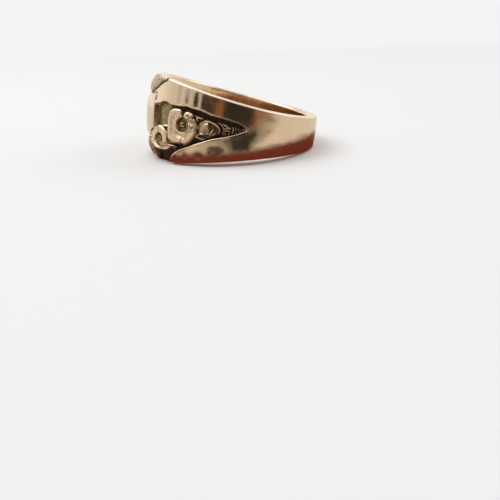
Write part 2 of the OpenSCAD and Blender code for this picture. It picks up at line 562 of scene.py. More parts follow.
    def ribs(self, turn: np.ndarray, height: np.ndarray) -> tuple[np.ndarray, np.ndarray]:
        """Pattern of slanting leaves, each with its vein and barbs.

        Args:
            turn: Turn from the middle of the head towards the near shoulder, in degrees.
            height: Height on the band.

        Returns:
            How far the face is raised, and how dark it has tarnished.
        """
        over = np.clip((height - self.form.roll_start) / self.form.roll_r, -1.0, 1.0)
        across = np.arcsin(over) * self.form.roll_r
        slope = math.radians(self.rib_slope)
        run = self.form.crest_r * np.sin(np.radians(turn))
        phase = run * math.sin(slope) - across * math.cos(slope)
        phase = phase / (self.rib_pitch * math.sin(slope))
        place = 2.0 * (phase - np.floor(phase)) - 1.0
        leaf = np.sqrt(np.maximum(1.0 - np.abs(place) ** 2.5, 0.0))
        vein = hill(place, self.vein_width)
        barb_run = across + self.barb_lean * np.abs(place)
        barb = np.sin(2.0 * math.pi * barb_run / self.barb_pitch)
        rib = self.rib_rise * leaf - self.vein_depth * vein + self.barb_rise * barb * leaf
        gaps = np.maximum(1.0 - ramp(0.25, 0.75, leaf), 0.55 * vein)
        return rib, 0.85 * gaps + (0.22 + 0.12 * barb)

    def tablet(self, turn: np.ndarray, height: np.ndarray) -> tuple[np.ndarray, np.ndarray]:
        """Plain tablet in the middle of the head, with a groove round it."""
        side = self.form.crest_r * math.sin(math.radians(self.tablet_turn))
        corners = np.array([
            [side, self.tablet_long], [-side, self.tablet_short],
            [-side, -self.tablet_long], [side, -self.tablet_short],
        ])
        ahead = np.abs(turn) < 60.0
        spot = np.column_stack([self.form.crest_r * np.sin(np.radians(turn)), height])
        edge = np.where(ahead, distance_inside(spot, corners), FAR)
        rise = self.tablet_rise - self.tablet_slope * ramp(0.9, 2.9, np.abs(height)) ** 2
        lift = rise * (1.0 - ramp(-self.tablet_bevel, 0.02, edge))
        lift -= self.groove_depth * hill(edge - self.groove_width, self.groove_width)
        return lift, 0.75 * hill(edge - 0.09, 0.08)

    def relief(self, turn: np.ndarray, height: np.ndarray) -> tuple[np.ndarray, np.ndarray]:
        """All of the carving at points of the band.

        Args:
            turn: Turns from the middle of the head, from -180 to 180 degrees.
            height: Heights from the middle of the band, in mm.

        Returns:
            How far each point is raised, and how dark it is with tarnish and painted shade.
        """
        lift, dark = self.tablet(turn, height)
        for side in Shoulder:
            sunk, stain, close = self.shoulder(side.value * turn, side.value * height)
            sunk_part = lift * (1.0 - 0.9 * close)
            raised_part = lift * (1.0 - ramp(0.0, -0.2, sunk))
            lift = np.where(lift < 0, sunk_part, raised_part) + sunk
            dark = np.maximum(dark * (1.0 - 0.9 * close), stain)
            leaves, shade = self.leafy_border(side.value * turn, side.value * height)
            lift = lift + leaves
            dark = np.maximum(dark, shade)
        head = 1.0 - ramp(*self.head_turns, np.abs(turn))
        lift = lift - self.head_slope * head * ramp(*self.head_heights, np.abs(height))
        for row in self.dents:
            lift -= self.hollow(turn, height, row)
        length = np.radians(turn) * self.form.crest_r
        lift += sum(rise * grain(length, height, pitch, seed) for rise, pitch, seed in self.wear)
        return lift, dark


@dataclass
class Band:
    """The cast band: a sheet closed round the ring, its rows laid along the band's real section.

    columns holds stretches of the turn, in degrees, and how many columns stand in each.
    """

    form: BandForm
    lie: Lie
    carving: Carving
    face_rows: int = 126
    edge_rows: int = 7
    bore_rows: int = 7
    outer_round: float = 0.13
    inner_round: float = 0.58
    inner_swing: float = 0.24
    bore_film: float = 0.04
    merge: float = 0.0005
    sharp: float = 80.0
    columns: tuple[tuple[float, float, int], ...] = (
        (-180, -93, 50), (-93, -18, 184), (-18, 18, 92), (18, 93, 184), (93, 180, 50),
    )

    def turns(self) -> np.ndarray:
        """Turns at which the band's columns stand, closer together over the carving."""
        return np.concatenate([
            np.linspace(first, last, count, endpoint=False) for first, last, count in self.columns
        ])

    def section(self, turn: np.ndarray) -> tuple[np.ndarray, np.ndarray]:
        """Closed section of the uncarved band at each turn.

        Args:
            turn: Turns of the columns.

        Returns:
            Distances from the axis and heights, each of shape (columns, rows).
        """
        top = self.form.rim_height(turn)
        face = self.form.face_at(turn, top)
        bore = self.form.bore_at(turn)
        wall = face - bore
        outer = np.minimum(self.outer_round, 0.42 * wall)
        inner = self.inner_round + self.inner_swing * np.sin(np.radians(turn))
        inner = np.minimum(inner, 0.62 * wall)
        share = np.linspace(-1.0, 1.0, self.face_rows)
        height = (top - outer)[:, None] * share
        radius = self.form.face_at(turn[:, None], height)

        def pair(r: np.ndarray, w: np.ndarray) -> np.ndarray:
            """Puts distances and heights side by side."""
            return np.stack([r, w], -1)

        def bend(start: np.ndarray, corner: np.ndarray, end: np.ndarray) -> np.ndarray:
            """Rounds a corner with points strictly between its start and its end."""
            part = (np.arange(1, self.edge_rows + 1) / (self.edge_rows + 1))[None, :, None]
            return (
                (1 - part) ** 2 * start[:, None, :]
                + 2 * part * (1 - part) * corner[:, None, :]
                + part**2 * end[:, None, :]
            )

        low = np.minimum(self.form.half_width(turn, bore), top + 0.4)
        outer_corner = pair(face, top)
        inner_corner = pair(bore, low)
        way = (inner_corner - outer_corner) / wall[:, None]
        rim_start = outer_corner + way * outer[:, None]
        rim_end = inner_corner - way * inner[:, None]
        bore_start = pair(bore, low - inner)
        outer_bend = bend(pair(radius[:, -1], height[:, -1]), outer_corner, rim_start)
        inner_bend = bend(rim_end, inner_corner, bore_start)
        upper = np.concatenate([outer_bend, rim_start[:, None], rim_end[:, None], inner_bend], 1)
        lower = (upper * np.array([1.0, -1.0]))[:, ::-1]
        step = np.linspace(1.0, -1.0, self.bore_rows)
        inside = pair(np.repeat(bore[:, None], self.bore_rows, 1), (low - inner)[:, None] * step)
        loop = np.concatenate([pair(radius, height), upper, inside, lower], 1)
        return loop[..., 0], loop[..., 1]

    def sheet(self, count: int, rows: int) -> tuple[bpy.types.Object, np.ndarray, np.ndarray]:
        """Lays a flat sheet with a square for each column and row of the band.

        Args:
            count: Number of columns.
            rows: Number of rows.

        Returns:
            The sheet, and the column and the row of each of its points.
        """
        Bench.clear()
        bpy.ops.mesh.primitive_grid_add(x_subdivisions=count, y_subdivisions=rows, size=2.0)
        band = bpy.context.active_object
        band.name = band.data.name = "ring_band"
        x, y, _ = Bench.points(band).T
        column = np.rint((x + 1.0) / 2.0 * count).astype(int) % count
        row = np.rint((y + 1.0) / 2.0 * rows).astype(int) % rows
        return band, column, row

    def build(self) -> bpy.types.Object:
        """Makes the carved band.

        Returns:
            The band's object, its mesh in place in metres.
        """
        turn = self.turns()
        radius, height = self.section(turn)
        tarnish = self.carve(turn, radius, height)
        band, column, line = self.sheet(*radius.shape)
        angle = np.radians(turn)[:, None]
        points = np.stack([-radius * np.cos(angle), -radius * np.sin(angle), height], -1)
        Bench.put(band, points[column, line])
        Bench.mark(band, Mark.TARNISH_AND_SHADE, tarnish[column, line])
        with Bench.editing(band):
            bpy.ops.mesh.remove_doubles(threshold=self.merge)
            bpy.ops.mesh.normals_make_consistent(inside=False)
        band.data.transform(self.lie.matrix())
        Bench.smooth(band, self.sharp)
        return band

    def carve(self, turn: np.ndarray, radius: np.ndarray, height: np.ndarray) -> np.ndarray:
        """Moves the points of the uncarved band, rims included, by the carving's relief.

        Args:
            turn: Turns of the columns.
            radius: Distances from the axis, of shape (columns, rows), changed in place.
            height: Heights, of the same shape, changed in place.

        Returns:
            Tarnish, with painted shade, at each point.
        """
        rows = radius.shape[1]
        face_turn = np.repeat(turn[:, None], self.face_rows, 1)
        face_height = height[:, : self.face_rows]
        lift, dark = self.carving.relief(face_turn.ravel(), face_height.ravel())
        lift = lift.reshape(face_height.shape)
        dark = dark.reshape(face_height.shape)
        step = 1e-3
        rise = self.form.face_at(face_turn, face_height + step)
        slope = (rise - self.form.face_at(face_turn, face_height - step)) / (2 * step)
        length = np.hypot(1.0, slope)
        radius[:, : self.face_rows] += lift / length
        height[:, : self.face_rows] -= lift * slope / length
        tarnish = np.zeros(radius.shape)
        tarnish[:, : self.face_rows] = dark
        edge = self.edge_rows + 1
        upper = slice(self.face_rows, self.face_rows + edge)
        lower = slice(rows - edge, rows)
        for part, row, sign in ((upper, -1, 1.0), (lower, 0, -1.0)):
            before = radius[:, part]
            after = before + (lift / length)[:, row][:, None]
            drop = self.form.half_width(turn[:, None], after)
            drop = drop - self.form.half_width(turn[:, None], before)
            height[:, part] += sign * drop
            radius[:, part] = after
            tarnish[:, part] = dark[:, row][:, None]
        tarnish[:, self.face_rows + 2 * edge : rows - 2 * edge] = self.bore_film
        return tarnish


@dataclass(frozen=True)
class Blossom:
    """Open flower in relief: petals dished from their rim to a dark eye with a bead, in mm.

    petals and eye are outlines as arc lengths and heights on the band, and the petals stand out
    by spread past theirs. bead holds the place and radius of the bead, dot the place of the hole
    in it, whose size is a share hole of that radius; the hole is darkened with painted shade. A
    row of creases holds the width, depth and path of one crease. Beyond the place in droop,
    towards the lower right, the petals sink by up to its last number. The shares of tarnish,
    painted shade included, lie between 0 and 1.
    """

    petals: Places
    eye: Places
    bead: tuple[float, float, float]
    dot: tuple[float, float]
    spread: float = 0.10
    rise: float = 0.60
    dish: float = 0.11
    bead_rise: float = 0.20
    hole: float = 0.36
    sink: float = 0.24
    blunt: float = 1.0
    bead_foot: float = 0.14
    bead_film: float = 0.12
    edge_round: float = 0.26
    edge_fall: float = 0.42
    eye_round: float = 0.10
    eye_fall: float = 0.30
    eye_wall: float = 0.40
    eye_floor: float = 0.04
    droop: tuple[float, float, float] = (0.0, -9.0, 0.0)
    creases: Creases = ()
    ribs: int = 16
    rib_rise: float = 0.05
    eye_shade: float = 0.62
    film: float = 0.16
    seed: int = 21

    def shape(self, spot: np.ndarray, floor: float) -> tuple[np.ndarray, np.ndarray]:
        """Sculpts the flower.

        Args:
            spot: Arc lengths and heights on the band, of shape (n, 2).
            floor: How far below the ground the rest lies.

        Returns:
            Height above the ground and tarnish at each point, painted shade in the bead's hole included.
        """
        outer = self.spread - distance_inside(spot, rounded(self.petals))
        inner = distance_inside(spot, rounded(self.eye))
        level, stain = self.petal_face(spot, outer, inner)
        pit, pit_shade = self.eye_pit(spot, inner)
        deep = 0.95 * (1.0 - ramp(0.10, 0.55, level / self.rise))
        high = np.where(inner > 0, level, pit)
        shade = np.where(inner > 0, np.maximum(deep, stain), pit_shade)
        inside = outer > 0
        return np.where(inside, high, -floor), np.clip(np.where(inside, shade, 1.0), 0.0, 1.0)

    def petal_face(
        self, spot: np.ndarray, outer: np.ndarray, inner: np.ndarray
    ) -> tuple[np.ndarray, np.ndarray]:
        """Sculpts the petals, dished, creased, lumpy and worn round at both edges.

        Args:
            spot: Arc lengths and heights on the band.
            outer: How far inside the petals' outline each point lies.
            inner: How far outside the eye each point lies.

        Returns:
            Height above the ground and tarnish at each point.
        """
        past_eye = np.clip(inner, 0.0, None)
        share = past_eye / np.maximum(np.abs(inner) + np.clip(outer, 0.0, None), TINY)
        level = self.rise - self.dish * (1.0 - ramp(0.30, 0.85, share))
        level += 0.3 * self.dish * (1.0 - ramp(0.0, 0.2, share))
        mottle = 1.0 + 0.5 * grain(*spot.T, 0.5, self.seed)
        stain = self.film * (1.0 - ramp(0.45, 0.95, share)) * mottle
        for width, depth, path in self.creases:
            crease = hill(distance_to_path(spot, np.array(path)), width)
            level -= depth * crease
            stain = np.maximum(stain, (0.08 + 5.0 * max(depth - 0.04, 0.0)) * crease)
        fine = 0.004 * grain(*spot.T, 0.3, self.seed + 2)
        level += 0.009 * grain(*spot.T, 0.75, self.seed + 1) + fine
        low_right = 0.5 * (spot[:, 0] - self.droop[0]) - 0.85 * (spot[:, 1] - self.droop[1])
        level -= self.droop[2] * ramp(0.0, 0.75, low_right)
        level -= self.edge_fall * self.rise * (1.0 - quarter(outer / self.edge_round))
        level -= self.eye_fall * self.rise * (1.0 - quarter(inner / self.eye_round))
        return level, stain

    def eye_pit(self, spot: np.ndarray, inner: np.ndarray) -> tuple[np.ndarray, np.ndarray]:
        """Sculpts the ribbed pit of the eye and the bead in it.

        Args:
            spot: Arc lengths and heights on the band.
            inner: How far outside the eye each point lies.

        Returns:
            Height above the ground and tarnish at each point, with painted shade in the bead's hole.
        """
        at, height, size = self.bead
        away = np.hypot(spot[:, 0] - at, spot[:, 1] - height)
        angle = np.arctan2(spot[:, 1] - height, spot[:, 0] - at)
        rib = (0.5 + 0.5 * np.cos(self.ribs * angle)) * ramp(size * 1.1, size * 1.5, away)
        wall = 1.0 - ramp(0.0, 0.10, -inner)
        pit = self.eye_floor + self.rib_rise * rib + self.eye_wall * self.rise * wall
        dot = np.hypot(spot[:, 0] - self.dot[0], spot[:, 1] - self.dot[1])
        dome = self.bead_foot + self.bead_rise * quarter(self.blunt * (1.0 - away / size))
        dome -= self.sink * hill(dot, self.hole * size)
        pit = np.where(away < size, np.maximum(pit, dome), pit)
        shade = self.eye_shade - 0.5 * self.rib_rise / 0.08 * rib + 0.2 * hill(away - size, 0.06)
        # Painted shade in the bead's hole, dark whatever the hole's depth.
        bead_shade = self.bead_film + 1.5 * hill(dot, self.hole * size)
        return pit, np.where(away < size, bead_shade, shade)


class Stroke:
    """Rounded ridge along a path whose rows hold its place, half width and height."""

    @staticmethod
    def one(spot: np.ndarray, path: Sequence[Sequence[float]], floor: float) -> np.ndarray:
        """Height of one ridge.

        Args:
            spot: Points in the plane, of shape (n, 2).
            path: Rows of length, height on the band, half width and rise.
            floor: How far below the ground the rest lies.

        Returns:
            Height of the ridge at each point.
        """
        rows = np.array(path, float)
        best = np.full(len(spot), -floor)
        for first, last in zip(rows[:-1], rows[1:]):
            way = last[:2] - first[:2]
            part = np.clip((spot - first[:2]) @ way / (way @ way), 0.0, 1.0)
            gap = spot - first[:2] - part[:, None] * way
            wide = first[2] + part * (last[2] - first[2])
            rise = first[3] + part * (last[3] - first[3])
            off = np.hypot(gap[:, 0], gap[:, 1]) / wide
            height = np.where(off < 1.0, rise * np.maximum(1.0 - off**2.4, 0.0) ** 0.5, -floor)
            best = np.maximum(best, height)
        return best

    @staticmethod
    def all(spot: np.ndarray, paths: Sequence[Sequence[Sequence[float]]], floor: float) -> np.ndarray:
        """Height of the highest of several ridges at each point."""
        return np.max([Stroke.one(spot, path, floor) for path in paths], axis=0)

    @staticmethod
    def shade(level: np.ndarray) -> np.ndarray:
        """Tarnish that goes with a height above the ground."""
        return 1.0 - ramp(0.08, 0.26, level)


@dataclass
class Patch:
    """Relief sculpted on a flat sheet between two corners, closed below, then wrapped, in mm."""

    form: BandForm
    low: tuple[float, float]
    high: tuple[float, float]
    cell: float = 0.034
    depth: float = 0.05

    def wrap(self, piece: bpy.types.Object, middle: np.ndarray) -> None:
        """Wraps a flat relief round the sunk ground.

        Args:
            piece: The relief, with its length along X and its rise along Z.
            middle: Arc length and height on the band of its middle.
        """
        points = Bench.points(piece)
        height = points[:, 1] + middle[1]
        turn = middle[0] / self.form.crest_r + points[:, 0] / self.form.crest_r
        radius = self.form.crest_r - self.form.depth_at(np.degrees(turn)) + points[:, 2]
        Bench.put(piece, np.column_stack([-radius * np.cos(turn), -radius * np.sin(turn), height]))

    def build(self, shape: Callable[[np.ndarray], tuple[np.ndarray, np.ndarray]]) -> bpy.types.Object:
        """Makes the relief.

        Args:
            shape: Gives height above the ground and tarnish at arc lengths and heights.

        Returns:
            Its object.
        """
        low, high = np.array(self.low), np.array(self.high)
        mid = (low + high) / 2
        cells = np.rint((high - low) / self.cell).astype(int)
        Bench.clear()
        bpy.ops.mesh.primitive_grid_add(
            x_subdivisions=int(cells[0]), y_subdivisions=int(cells[1]), size=2.0
        )
        sheet = bpy.context.active_object
        flat = Bench.points(sheet)[:, :2] * (high - low) / 2
        level, dark = shape(flat + mid)
        Bench.put(sheet, np.column_stack([flat, level]))
        Bench.mark(sheet, Mark.TARNISH_AND_SHADE, dark)
        with Bench.editing(sheet):
            bpy.ops.mesh.select_mode(type="EDGE")
            bpy.ops.mesh.region_to_loop()
            down = {"value": (0.0, 0.0, -self.depth)}
            bpy.ops.mesh.extrude_edges_move(TRANSFORM_OT_translate=down)
            bpy.ops.mesh.edge_face_add()
            bpy.ops.mesh.select_all(action="SELECT")
            bpy.ops.mesh.normals_make_consistent(inside=False)
            bpy.ops.mesh.select_mode(type="VERT")
        self.wrap(sheet, mid)
        return sheet


@dataclass
class Spray:
    """The flowers, bud, leaves and curls of one shoulder, as one object.

    Outlines are arc lengths and heights on the band, in mm. Each row of a ridge holds its
    place, half width and height above the ground. dimples holds width, depth and path. Of the
    knob, the chain, the half-rolled leaf's face, the hollow behind it and the low leaf, a level is
    the height above the ground at the edge, a rise what the middle adds, and a film the tarnish.
    """

    form: BandForm
    lie: Lie
    root: float = 0.25
    sharp: float = 60.0
    big_flower: Blossom = Blossom(
        petals=(
            (8.45, 1.52), (8.15, 1.61), (7.40, 1.56), (6.92, 1.32), (6.72, 0.94), (6.65, 0.60),
            (6.60, 0.26), (6.58, -0.24), (6.60, -0.75), (6.68, -1.25), (6.76, -1.66), (7.10, -1.86),
            (7.51, -1.98), (7.99, -2.02), (8.44, -1.96), (8.64, -1.86), (8.70, -1.60), (8.78, -1.88),
            (9.08, -1.98), (9.38, -1.90), (9.74, -1.60), (10.08, -1.25), (10.36, -0.85),
            (10.46, -0.50), (10.42, -0.30), (10.50, -0.05), (10.44, 0.25), (10.32, 0.55), (10.20, 0.77),
            (10.10, 0.92), (9.30, 0.90), (8.98, 0.80), (8.80, 0.60), (8.60, 0.82), (8.54, 1.02),
            (8.48, 1.24),
        ),
        eye=(
            (8.55, 0.83), (8.19, 0.64), (7.93, 0.40), (7.86, 0.10), (7.90, -0.27), (7.99, -0.55),
            (8.19, -0.69), (8.57, -0.77), (8.95, -0.72), (9.24, -0.51), (9.42, -0.23), (9.46, 0.10),
            (9.40, 0.38), (9.24, 0.69), (8.97, 0.85),
        ),
        bead=(8.52, 0.04, 0.30), dot=(8.62, 0.06),
        creases=(
            (0.12, 0.022, ((7.19, 0.50), (7.30, -1.05))), (0.10, 0.024, ((7.49, 0.40), (7.60, -1.10))),
            (0.20, 0.065, ((8.00, -1.00), (8.40, -1.14), (8.90, -1.24))),
            (0.09, 0.035, ((9.84, -0.40), (10.06, -0.95))),
            (0.06, 0.12, ((10.70, -0.30), (10.40, -0.30))),
            (0.06, 0.040, ((7.10, 1.10), (7.60, 0.95), (8.00, 1.00))),
            (0.05, 0.05, ((8.70, -1.60), (8.72, -1.42))),
        ),
        eye_shade=0.76,
    )
    small_flower: Blossom = Blossom(
        petals=(
            (3.38, -1.44), (3.95, -1.09), (4.45, -0.80), (4.92, -0.54), (5.37, -0.58), (5.83, -0.69),
            (6.10, -0.85), (6.35, -1.05), (6.46, -1.33), (6.54, -1.62), (6.58, -1.98), (6.66, -2.29),
            (6.92, -2.55), (6.94, -2.90), (6.39, -3.17), (5.83, -3.25), (5.23, -3.32), (4.72, -3.29),
            (4.24, -3.18), (3.80, -3.03), (3.42, -2.79), (3.26, -2.49), (3.20, -2.16), (3.22, -1.83),
        ),
        eye=(
            (4.98, -1.38), (4.48, -1.58), (4.18, -1.93), (4.02, -2.25), (4.10, -2.52), (4.38, -2.78),
            (4.90, -2.98), (5.30, -3.00), (5.72, -2.72), (5.92, -2.33), (5.85, -2.02), (5.63, -1.70),
            (5.35, -1.43),
        ),
        bead=(4.60, -2.07, 0.30), dot=(4.62, -2.07), hole=0.50, sink=0.12, blunt=3.0, spread=0.03,
        rise=0.66, dish=0.07, bead_rise=0.20, edge_round=0.17, droop=(5.80, -2.42, 0.26),
        creases=(
            (0.09, 0.100, ((4.78, -0.70), (4.83, -1.06), (4.93, -1.40))),
            (0.06, 0.040, ((6.64, -1.45), (6.30, -1.52), (6.10, -1.62))),
            (0.08, 0.040, ((6.70, -2.36), (6.30, -2.42), (5.95, -2.50))),
            (0.06, 0.030, ((3.20, -2.40), (3.60, -2.30))), (0.07, 0.030, ((5.05, -3.30), (5.00, -3.05))),
        ),
        ribs=13, rib_rise=0.08, eye_shade=0.60, film=0.10, seed=34,
    )
    knob: Places = (
        (10.18, 1.18), (10.08, 1.41), (9.77, 1.53), (9.48, 1.60), (9.18, 1.50), (9.00, 1.32),
        (8.92, 1.08), (8.96, 0.84), (9.28, 0.70), (9.66, 0.66), (10.02, 0.84),
    )
    dimples: Creases = (
        (0.075, 0.17, ((9.44, 1.15), (9.62, 1.10))), (0.065, 0.15, ((9.70, 0.97), (9.84, 0.92))),
        (0.05, 0.05, ((9.12, 1.12), (9.30, 1.24), (9.60, 1.26), (9.90, 1.16))),
        (0.05, 0.06, ((9.05, 0.90), (9.25, 0.98))),
    )
    chain: Places = (
        (9.24, 0.84), (9.42, 0.55), (9.56, 0.30), (9.55, 0.00), (9.68, -0.22), (10.05, -0.22),
        (10.40, -0.12), (10.46, 0.14), (10.28, 0.42), (10.16, 0.66), (10.12, 0.90), (9.70, 1.00),
    )
    curls: tuple[Ridge, ...] = (
        (
            (5.05, -0.70, 0.10, 0.50), (5.50, -0.58, 0.16, 0.58), (6.00, -0.46, 0.17, 0.58),
            (6.42, -0.46, 0.13, 0.50),
        ),
        (
            (6.50, -2.42, 0.10, 0.44), (7.06, -2.50, 0.12, 0.46), (7.50, -2.44, 0.10, 0.44),
            (7.90, -2.58, 0.05, 0.34),
        ),
        ((7.10, -2.72, 0.05, 0.30), (7.60, -2.76, 0.06, 0.30)),
    )
    low_leaf: Places = (
        (6.40, -1.70), (7.06, -1.78), (7.86, -1.96), (7.70, -2.22), (6.93, -2.27), (6.50, -2.20),
    )
    face: Places = (
        (10.84, 0.49), (10.88, 0.56), (11.20, 0.78), (11.60, 0.97), (11.70, 0.97), (11.92, 0.83),
        (11.97, 0.16), (12.03, -0.52), (11.98, -0.58), (11.47, -0.61), (10.89, -0.66),
        (10.84, -0.62), (10.80, -0.09),
    )
    hollow: Places = (
        (11.85, 0.84), (12.71, 0.72), (13.15, 0.40), (13.32, 0.05), (13.0, -0.40), (12.5, -0.66),
        (11.9, -0.90), (11.2, -1.02), (10.8, -0.90), (11.0, -0.60),
    )
    bud: tuple[Ridge, ...] = (
        (
            (11.55, 0.90, 0.12, 0.62), (12.09, 0.86, 0.15, 0.66), (12.62, 0.69, 0.16, 0.64),
            (12.96, 0.48, 0.15, 0.60), (13.16, 0.26, 0.13, 0.56), (13.22, 0.02, 0.11, 0.50),
            (13.14, -0.20, 0.08, 0.42),
        ),
        (
            (12.16, -0.56, 0.12, 0.50), (12.28, -0.28, 0.17, 0.56), (12.42, -0.02, 0.13, 0.52),
            (12.50, 0.12, 0.06, 0.44),
        ),
        ((12.44, -0.50, 0.12, 0.42), (12.70, -0.36, 0.10, 0.40), (12.80, -0.10, 0.06, 0.36)),
        (
            (10.82, -0.66, 0.12, 0.50), (10.54, -0.94, 0.13, 0.50), (10.90, -1.05, 0.11, 0.50),
            (11.30, -1.12, 0.09, 0.48), (11.62, -1.04, 0.05, 0.40),
        ),
        (
            (10.24, 1.30, 0.05, 0.38), (10.56, 1.12, 0.11, 0.48), (10.85, 1.08, 0.14, 0.52),
            (11.28, 1.09, 0.05, 0.42),
        ),
        ((10.44, 0.98, 0.11, 0.46), (10.62, 0.78, 0.11, 0.46)),
        ((10.64, 0.30, 0.07, 0.38), (10.66, 0.05, 0.09, 0.42), (10.62, -0.20, 0.06, 0.38)),
    )
    tip: tuple[Ridge, ...] = (
        (
            (12.85, 0.88, 0.05, 0.42), (13.15, 0.83, 0.08, 0.48), (13.36, 0.68, 0.10, 0.50),
            (13.54, 0.46, 0.10, 0.48), (13.66, 0.20, 0.09, 0.44), (13.68, -0.02, 0.06, 0.38),
        ),
        ((13.5, -0.05, 0.06, 0.36), (13.6, -0.20, 0.07, 0.36), (13.64, -0.36, 0.05, 0.30)),
        (
            (13.50, 0.80, 0.07, 0.46), (13.75, 0.70, 0.12, 0.52), (13.95, 0.60, 0.11, 0.50),
            (14.15, 0.50, 0.09, 0.44), (14.4, 0.45, 0.05, 0.36),
        ),
        ((13.74, 0.36, 0.08, 0.38), (14.05, 0.40, 0.10, 0.40), (14.4, 0.34, 0.06, 0.34)),
        ((13.78, 0.13, 0.08, 0.36), (14.1, 0.14, 0.10, 0.38), (14.42, 0.10, 0.06, 0.32)),
        ((13.82, -0.10, 0.08, 0.34), (13.86, -0.38, 0.07, 0.30)),
        ((14.22, -0.08, 0.09, 0.34), (14.26, -0.30, 0.06, 0.30)),
        (
            (14.5, 0.64, 0.05, 0.36), (14.62, 0.50, 0.08, 0.40), (14.68, 0.30, 0.09, 0.42),
            (14.66, 0.12, 0.08, 0.40), (14.58, -0.05, 0.05, 0.34),
        ),
        ((14.88, 0.60, 0.05, 0.34), (14.93, 0.42, 0.07, 0.38), (14.94, 0.24, 0.05, 0.34)),
        ((15.00, 0.16, 0.05, 0.32), (15.03, -0.04, 0.05, 0.30)),
        ((15.18, 0.56, 0.045, 0.32), (15.23, 0.40, 0.06, 0.36), (15.22, 0.22, 0.045, 0.32)),
        ((15.36, 0.52, 0.04, 0.30), (15.42, 0.34, 0.05, 0.32), (15.38, 0.12, 0.04, 0.30)),
        ((15.50, 0.46, 0.04, 0.27), (15.90, 0.55, 0.05, 0.30), (16.20, 0.64, 0.04, 0.26)),
        ((15.55, 0.31, 0.04, 0.27), (15.90, 0.38, 0.05, 0.30), (16.25, 0.45, 0.04, 0.26)),
        ((15.60, 0.15, 0.04, 0.27), (15.95, 0.22, 0.045, 0.30), (16.28, 0.30, 0.04, 0.26)),
    )

    knob_level: float = 0.56
    knob_rise: float = 0.26
    knob_round: float = 0.40
    chain_level: float = 0.52
    chain_rise: float = 0.14
    chain_round: float = 0.20
    chain_lumps: tuple[tuple[float, float, int], ...] = ((0.055, 0.50, 7), (0.022, 0.24, 8))
    face_start: float = 10.82
    face_long: float = 1.15
    face_level: float = 0.44
    face_slope: float = 0.06
    face_turn: float = 0.36
    face_middle: float = 0.15
    face_turned_at: Reach = (11.25, 11.75)
    face_end: Reach = (11.75, 11.95)
    face_rim: float = 0.07
    face_fall: float = 0.16
    face_film: float = 0.14
    hollow_level: float = 0.15
    hollow_rough: float = 0.05
    leaf_level: float = 0.24
    leaf_rise: float = 0.10
    leaf_vein: float = 0.02
    vein_pitch: float = 0.34
    leaf_film: float = 0.50

    def large_bloom(self, spot: np.ndarray) -> tuple[np.ndarray, np.ndarray]:
        """The large flower, with the curled knob and the crinkled chain at its right."""
        height, tarnish = self.big_flower.shape(spot, self.root)
        for other, other_shade in (self.crinkled_chain(spot), self.curled_knob(spot)):
            tarnish = np.where(other > height, other_shade, tarnish)
            height = np.maximum(height, other)
        return height, np.clip(tarnish, 0.0, 1.0)

    def curled_knob(self, spot: np.ndarray) -> tuple[np.ndarray, np.ndarray]:
        """Domed knob on the large flower's rim, with dark dimples and painted shade round its edge."""
        edge = -distance_inside(spot, rounded(self.knob))
        dome = self.knob_level + self.knob_rise * quarter(edge / self.knob_round)
        dome = dome + 0.012 * grain(*spot.T, 0.4, 6)
        # Painted shade round the knob's edge.
        dark = 0.75 * (1.0 - ramp(0.0, 0.07, edge))
        for width, deep, path in self.dimples:
            dimple = hill(distance_to_path(spot, np.array(path)), width)
            dome = dome - deep * dimple
            dark = np.maximum(dark, 4.8 * deep * dimple)
        return np.where(edge > 0, dome, -self.root), dark

    def crinkled_chain(self, spot: np.ndarray) -> tuple[np.ndarray, np.ndarray]:
        """Lumpy chain that runs down the large flower's right side."""
        edge = -distance_inside(spot, rounded(self.chain))
        crinkle = sum(rise * grain(*spot.T, pitch, seed) for rise, pitch, seed in self.chain_lumps)
        mass = self.chain_level + self.chain_rise * quarter(edge / self.chain_round) + crinkle
        rim = 0.55 * (1.0 - ramp(0.0, 0.06, edge))
        shade = np.maximum(0.65 * ramp(-0.035, -0.10, crinkle), rim)
        return np.where(edge > 0, mass, -self.root), shade

    def small_bloom(self, spot: np.ndarray) -> tuple[np.ndarray, np.ndarray]:
        """The small flower next to the tablet."""
        return self.small_flower.shape(spot, self.root)

    def rolled_leaf(self, spot: np.ndarray) -> tuple[np.ndarray, np.ndarray]:
        """Half-rolled leaf: a rimmed face, an arch over a rough hollow, and small lobes."""
        edge = -distance_inside(spot, np.array(self.face))
        along = (spot[:, 0] - self.face_start) / self.face_long
        turned = ramp(*self.face_turned_at, spot[:, 0]) * (1.0 - ramp(0.45, 0.75, spot[:, 1]))
        level = self.face_level + self.face_slope * along
        level = level + self.face_turn * turned * (spot[:, 1] - self.face_middle)
        rim = self.face_rim * hill(edge - 0.06, 0.07)
        level += rim * (1.0 - ramp(*self.face_end, spot[:, 0]))
        level += 0.010 * grain(*spot.T, 0.35, 15)
        level -= self.face_fall * (1.0 - quarter(edge / 0.07))
        face = np.where(edge > 0, level, -self.root)
        inside = distance_inside(spot, np.array(self.hollow))
        rough = self.hollow_level + self.hollow_rough * grain(*spot.T, 0.22, 9)
        bowl = np.where(inside < 0.02, rough, -self.root)
        strokes = Stroke.all(spot, self.bud, self.root)
        height = np.maximum(np.maximum(face, bowl), strokes)
        on_face = face >= np.maximum(bowl, strokes)
        film = np.where(on_face, self.face_film + 0.10 * turned, 0.0)
        return height, np.maximum(Stroke.shade(height), film)

    def small_curls(self, spot: np.ndarray) -> tuple[np.ndarray, np.ndarray]:
        """Curled leaves between and below the flowers, and a tarnished leaf under them."""
        curls = Stroke.all(spot, self.curls, self.root)
        edge = -distance_inside(spot, rounded(self.low_leaf))
        veins = np.sin(2.0 * math.pi * (spot[:, 0] + 0.8 * spot[:, 1]) / self.vein_pitch)
        leaf = self.leaf_level + self.leaf_rise * quarter(edge / 0.16) + self.leaf_vein * veins
        leaf = np.where(edge > 0, leaf, -self.root)
        shade = np.where(leaf > curls, self.leaf_film, Stroke.shade(curls))
        return np.maximum(curls, leaf), shade

